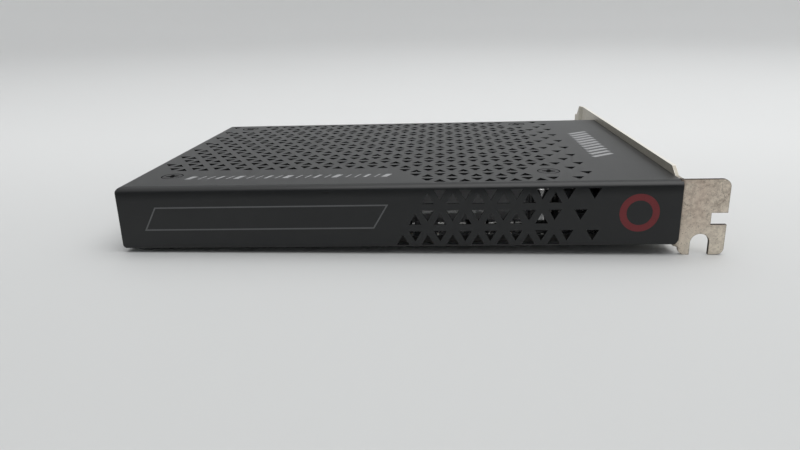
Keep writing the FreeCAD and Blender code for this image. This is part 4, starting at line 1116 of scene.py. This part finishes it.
def tableTop():
    made = Finish("paleTable")
    x, y, z = (made.card(axis) for axis in "XYZ")
    away = y.ramp(*table["nearDepth"]) * 0.92 + x.ramp(*table["nearAcross"]) * 0.08
    uneven = (made.noise(180, 3, 0.6) - 0.5) * 0.06
    wall = made.mix(x.ramp(*table["wallAcross"]), table["dim"], table["bright"])
    # painted light and shade: the floor darker in front of the card and paler far off, the wall paler to the right,
    # dark far behind the camera
    tone = made.layers(table["near"], ((away + uneven).most(0), table["middle"]),
                       (y.ramp(*table["farDepth"]), table["far"]), (z.ramp(*table["wallUp"]), wall),
                       (1 - y.ramp(*table["behindDepth"]), table["behind"]))
    made.surface(tone, table["roughness"], made.noise(*table["grain"]), table["depth"])
    profile = [(radius, 0) for radius in table["radii"]]
    span = table["reach"] - table["flat"]
    for step in range(table["wallSteps"] + 1):
        turn = math.pi / 2 * step / table["wallSteps"]
        profile.append((table["flat"] + span * math.sin(turn), table["rise"] * (1 - math.cos(turn))))
    shape = bmesh.new()
    rings = [circle(0, 0, height, radius, table["sides"]) for radius, height in profile]
    rows = [[shape.verts.new(point) for point in ring] for ring in rings]
    shape.faces.new(rows[0])
    for low, high in zip(rows, rows[1:]):
        skin(shape, low, high)
    bmesh.ops.recalc_face_normals(shape, faces=shape.faces)
    mesh = bpy.data.meshes.new("tableTop")
    shape.to_mesh(mesh)
    shape.free()
    mesh.shade_smooth()
    mesh.materials.append(made.material)
    floor = added("tableTop", mesh)
    floor.rotation_euler = (0, table["tilt"], 0)
    floor.location = toRow @ Vector(table["place"])


tableTop()

# soft studio light: one wide lamp overhead, and an even room, brighter above and darker low in front
light = {"power": 5.1, "size": 1.1, "place": (0.24, -0.08, 0.95), "above": (0.87, 0.87, 0.875, 1),
         "level": (0.6, 0.6, 0.605, 1), "front": (0.15, 0.155, 0.165, 1), "rise": (0, 0.9),
         "frontSide": (0.25, 0.75), "frontTop": (0.75, 0.95)}


def overheadLamp():
    lamp = bpy.data.lights.new("overhead", "AREA")
    lamp.energy = light["power"]
    lamp.shape = "DISK"
    lamp.size = light["size"]
    holder = added("overhead", lamp)
    holder.location = light["place"]
    holder.rotation_euler = (-Vector(light["place"])).to_track_quat("-Z", "Y").to_euler()


def studioWorld():
    world = bpy.data.worlds.new("studio")
    world.use_nodes = True
    room = Bench(world.node_tree)
    way = room.node("ShaderNodeTexCoord", {}, {}, "Generated")
    up = room.part(way, "Z")
    shade = (-room.part(way, "Y")).ramp(*light["frontSide"]) * (1 - up.ramp(*light["frontTop"]))
    tone = room.mix(up.ramp(*light["rise"]), light["level"], light["above"])
    glow = room.node("ShaderNodeBackground", {}, {"Color": room.mix(shade, tone, light["front"])})
    room.node("ShaderNodeOutputWorld", {}, {"Surface": glow})
    bpy.context.scene.world = world


overheadLamp()
studioWorld()
print("table and lights set")

# the camera, at the photograph's place and angle
view = {"place": (79.6847, -148.2952, 56.158), "turn": (-0.3130047, 0.06016495, -0.02892306),
        "focal": 649.706, "frame": 800, "sensor": 36}


def aimCamera():
    camera = bpy.data.cameras.new("camera")
    camera.sensor_width = view["sensor"]
    camera.lens = view["focal"] / view["frame"] * view["sensor"]
    camera.clip_start = 0.01
    level = Matrix(((1, 0, 0), (0, 0, -1), (0, 1, 0)))
    turnX, turnY, turnZ = view["turn"]
    turned = Matrix.Rotation(turnZ, 3, "Z") @ Matrix.Rotation(turnY, 3, "Y") @ Matrix.Rotation(turnX, 3, "X")
    holder = added("camera", camera)
    holder.matrix_world = Matrix.Translation(toRow @ Vector(view["place"])) @ (level @ turned).to_4x4()
    bpy.context.scene.camera = holder


aimCamera()
bpy.context.scene.view_settings.view_transform = "Standard"
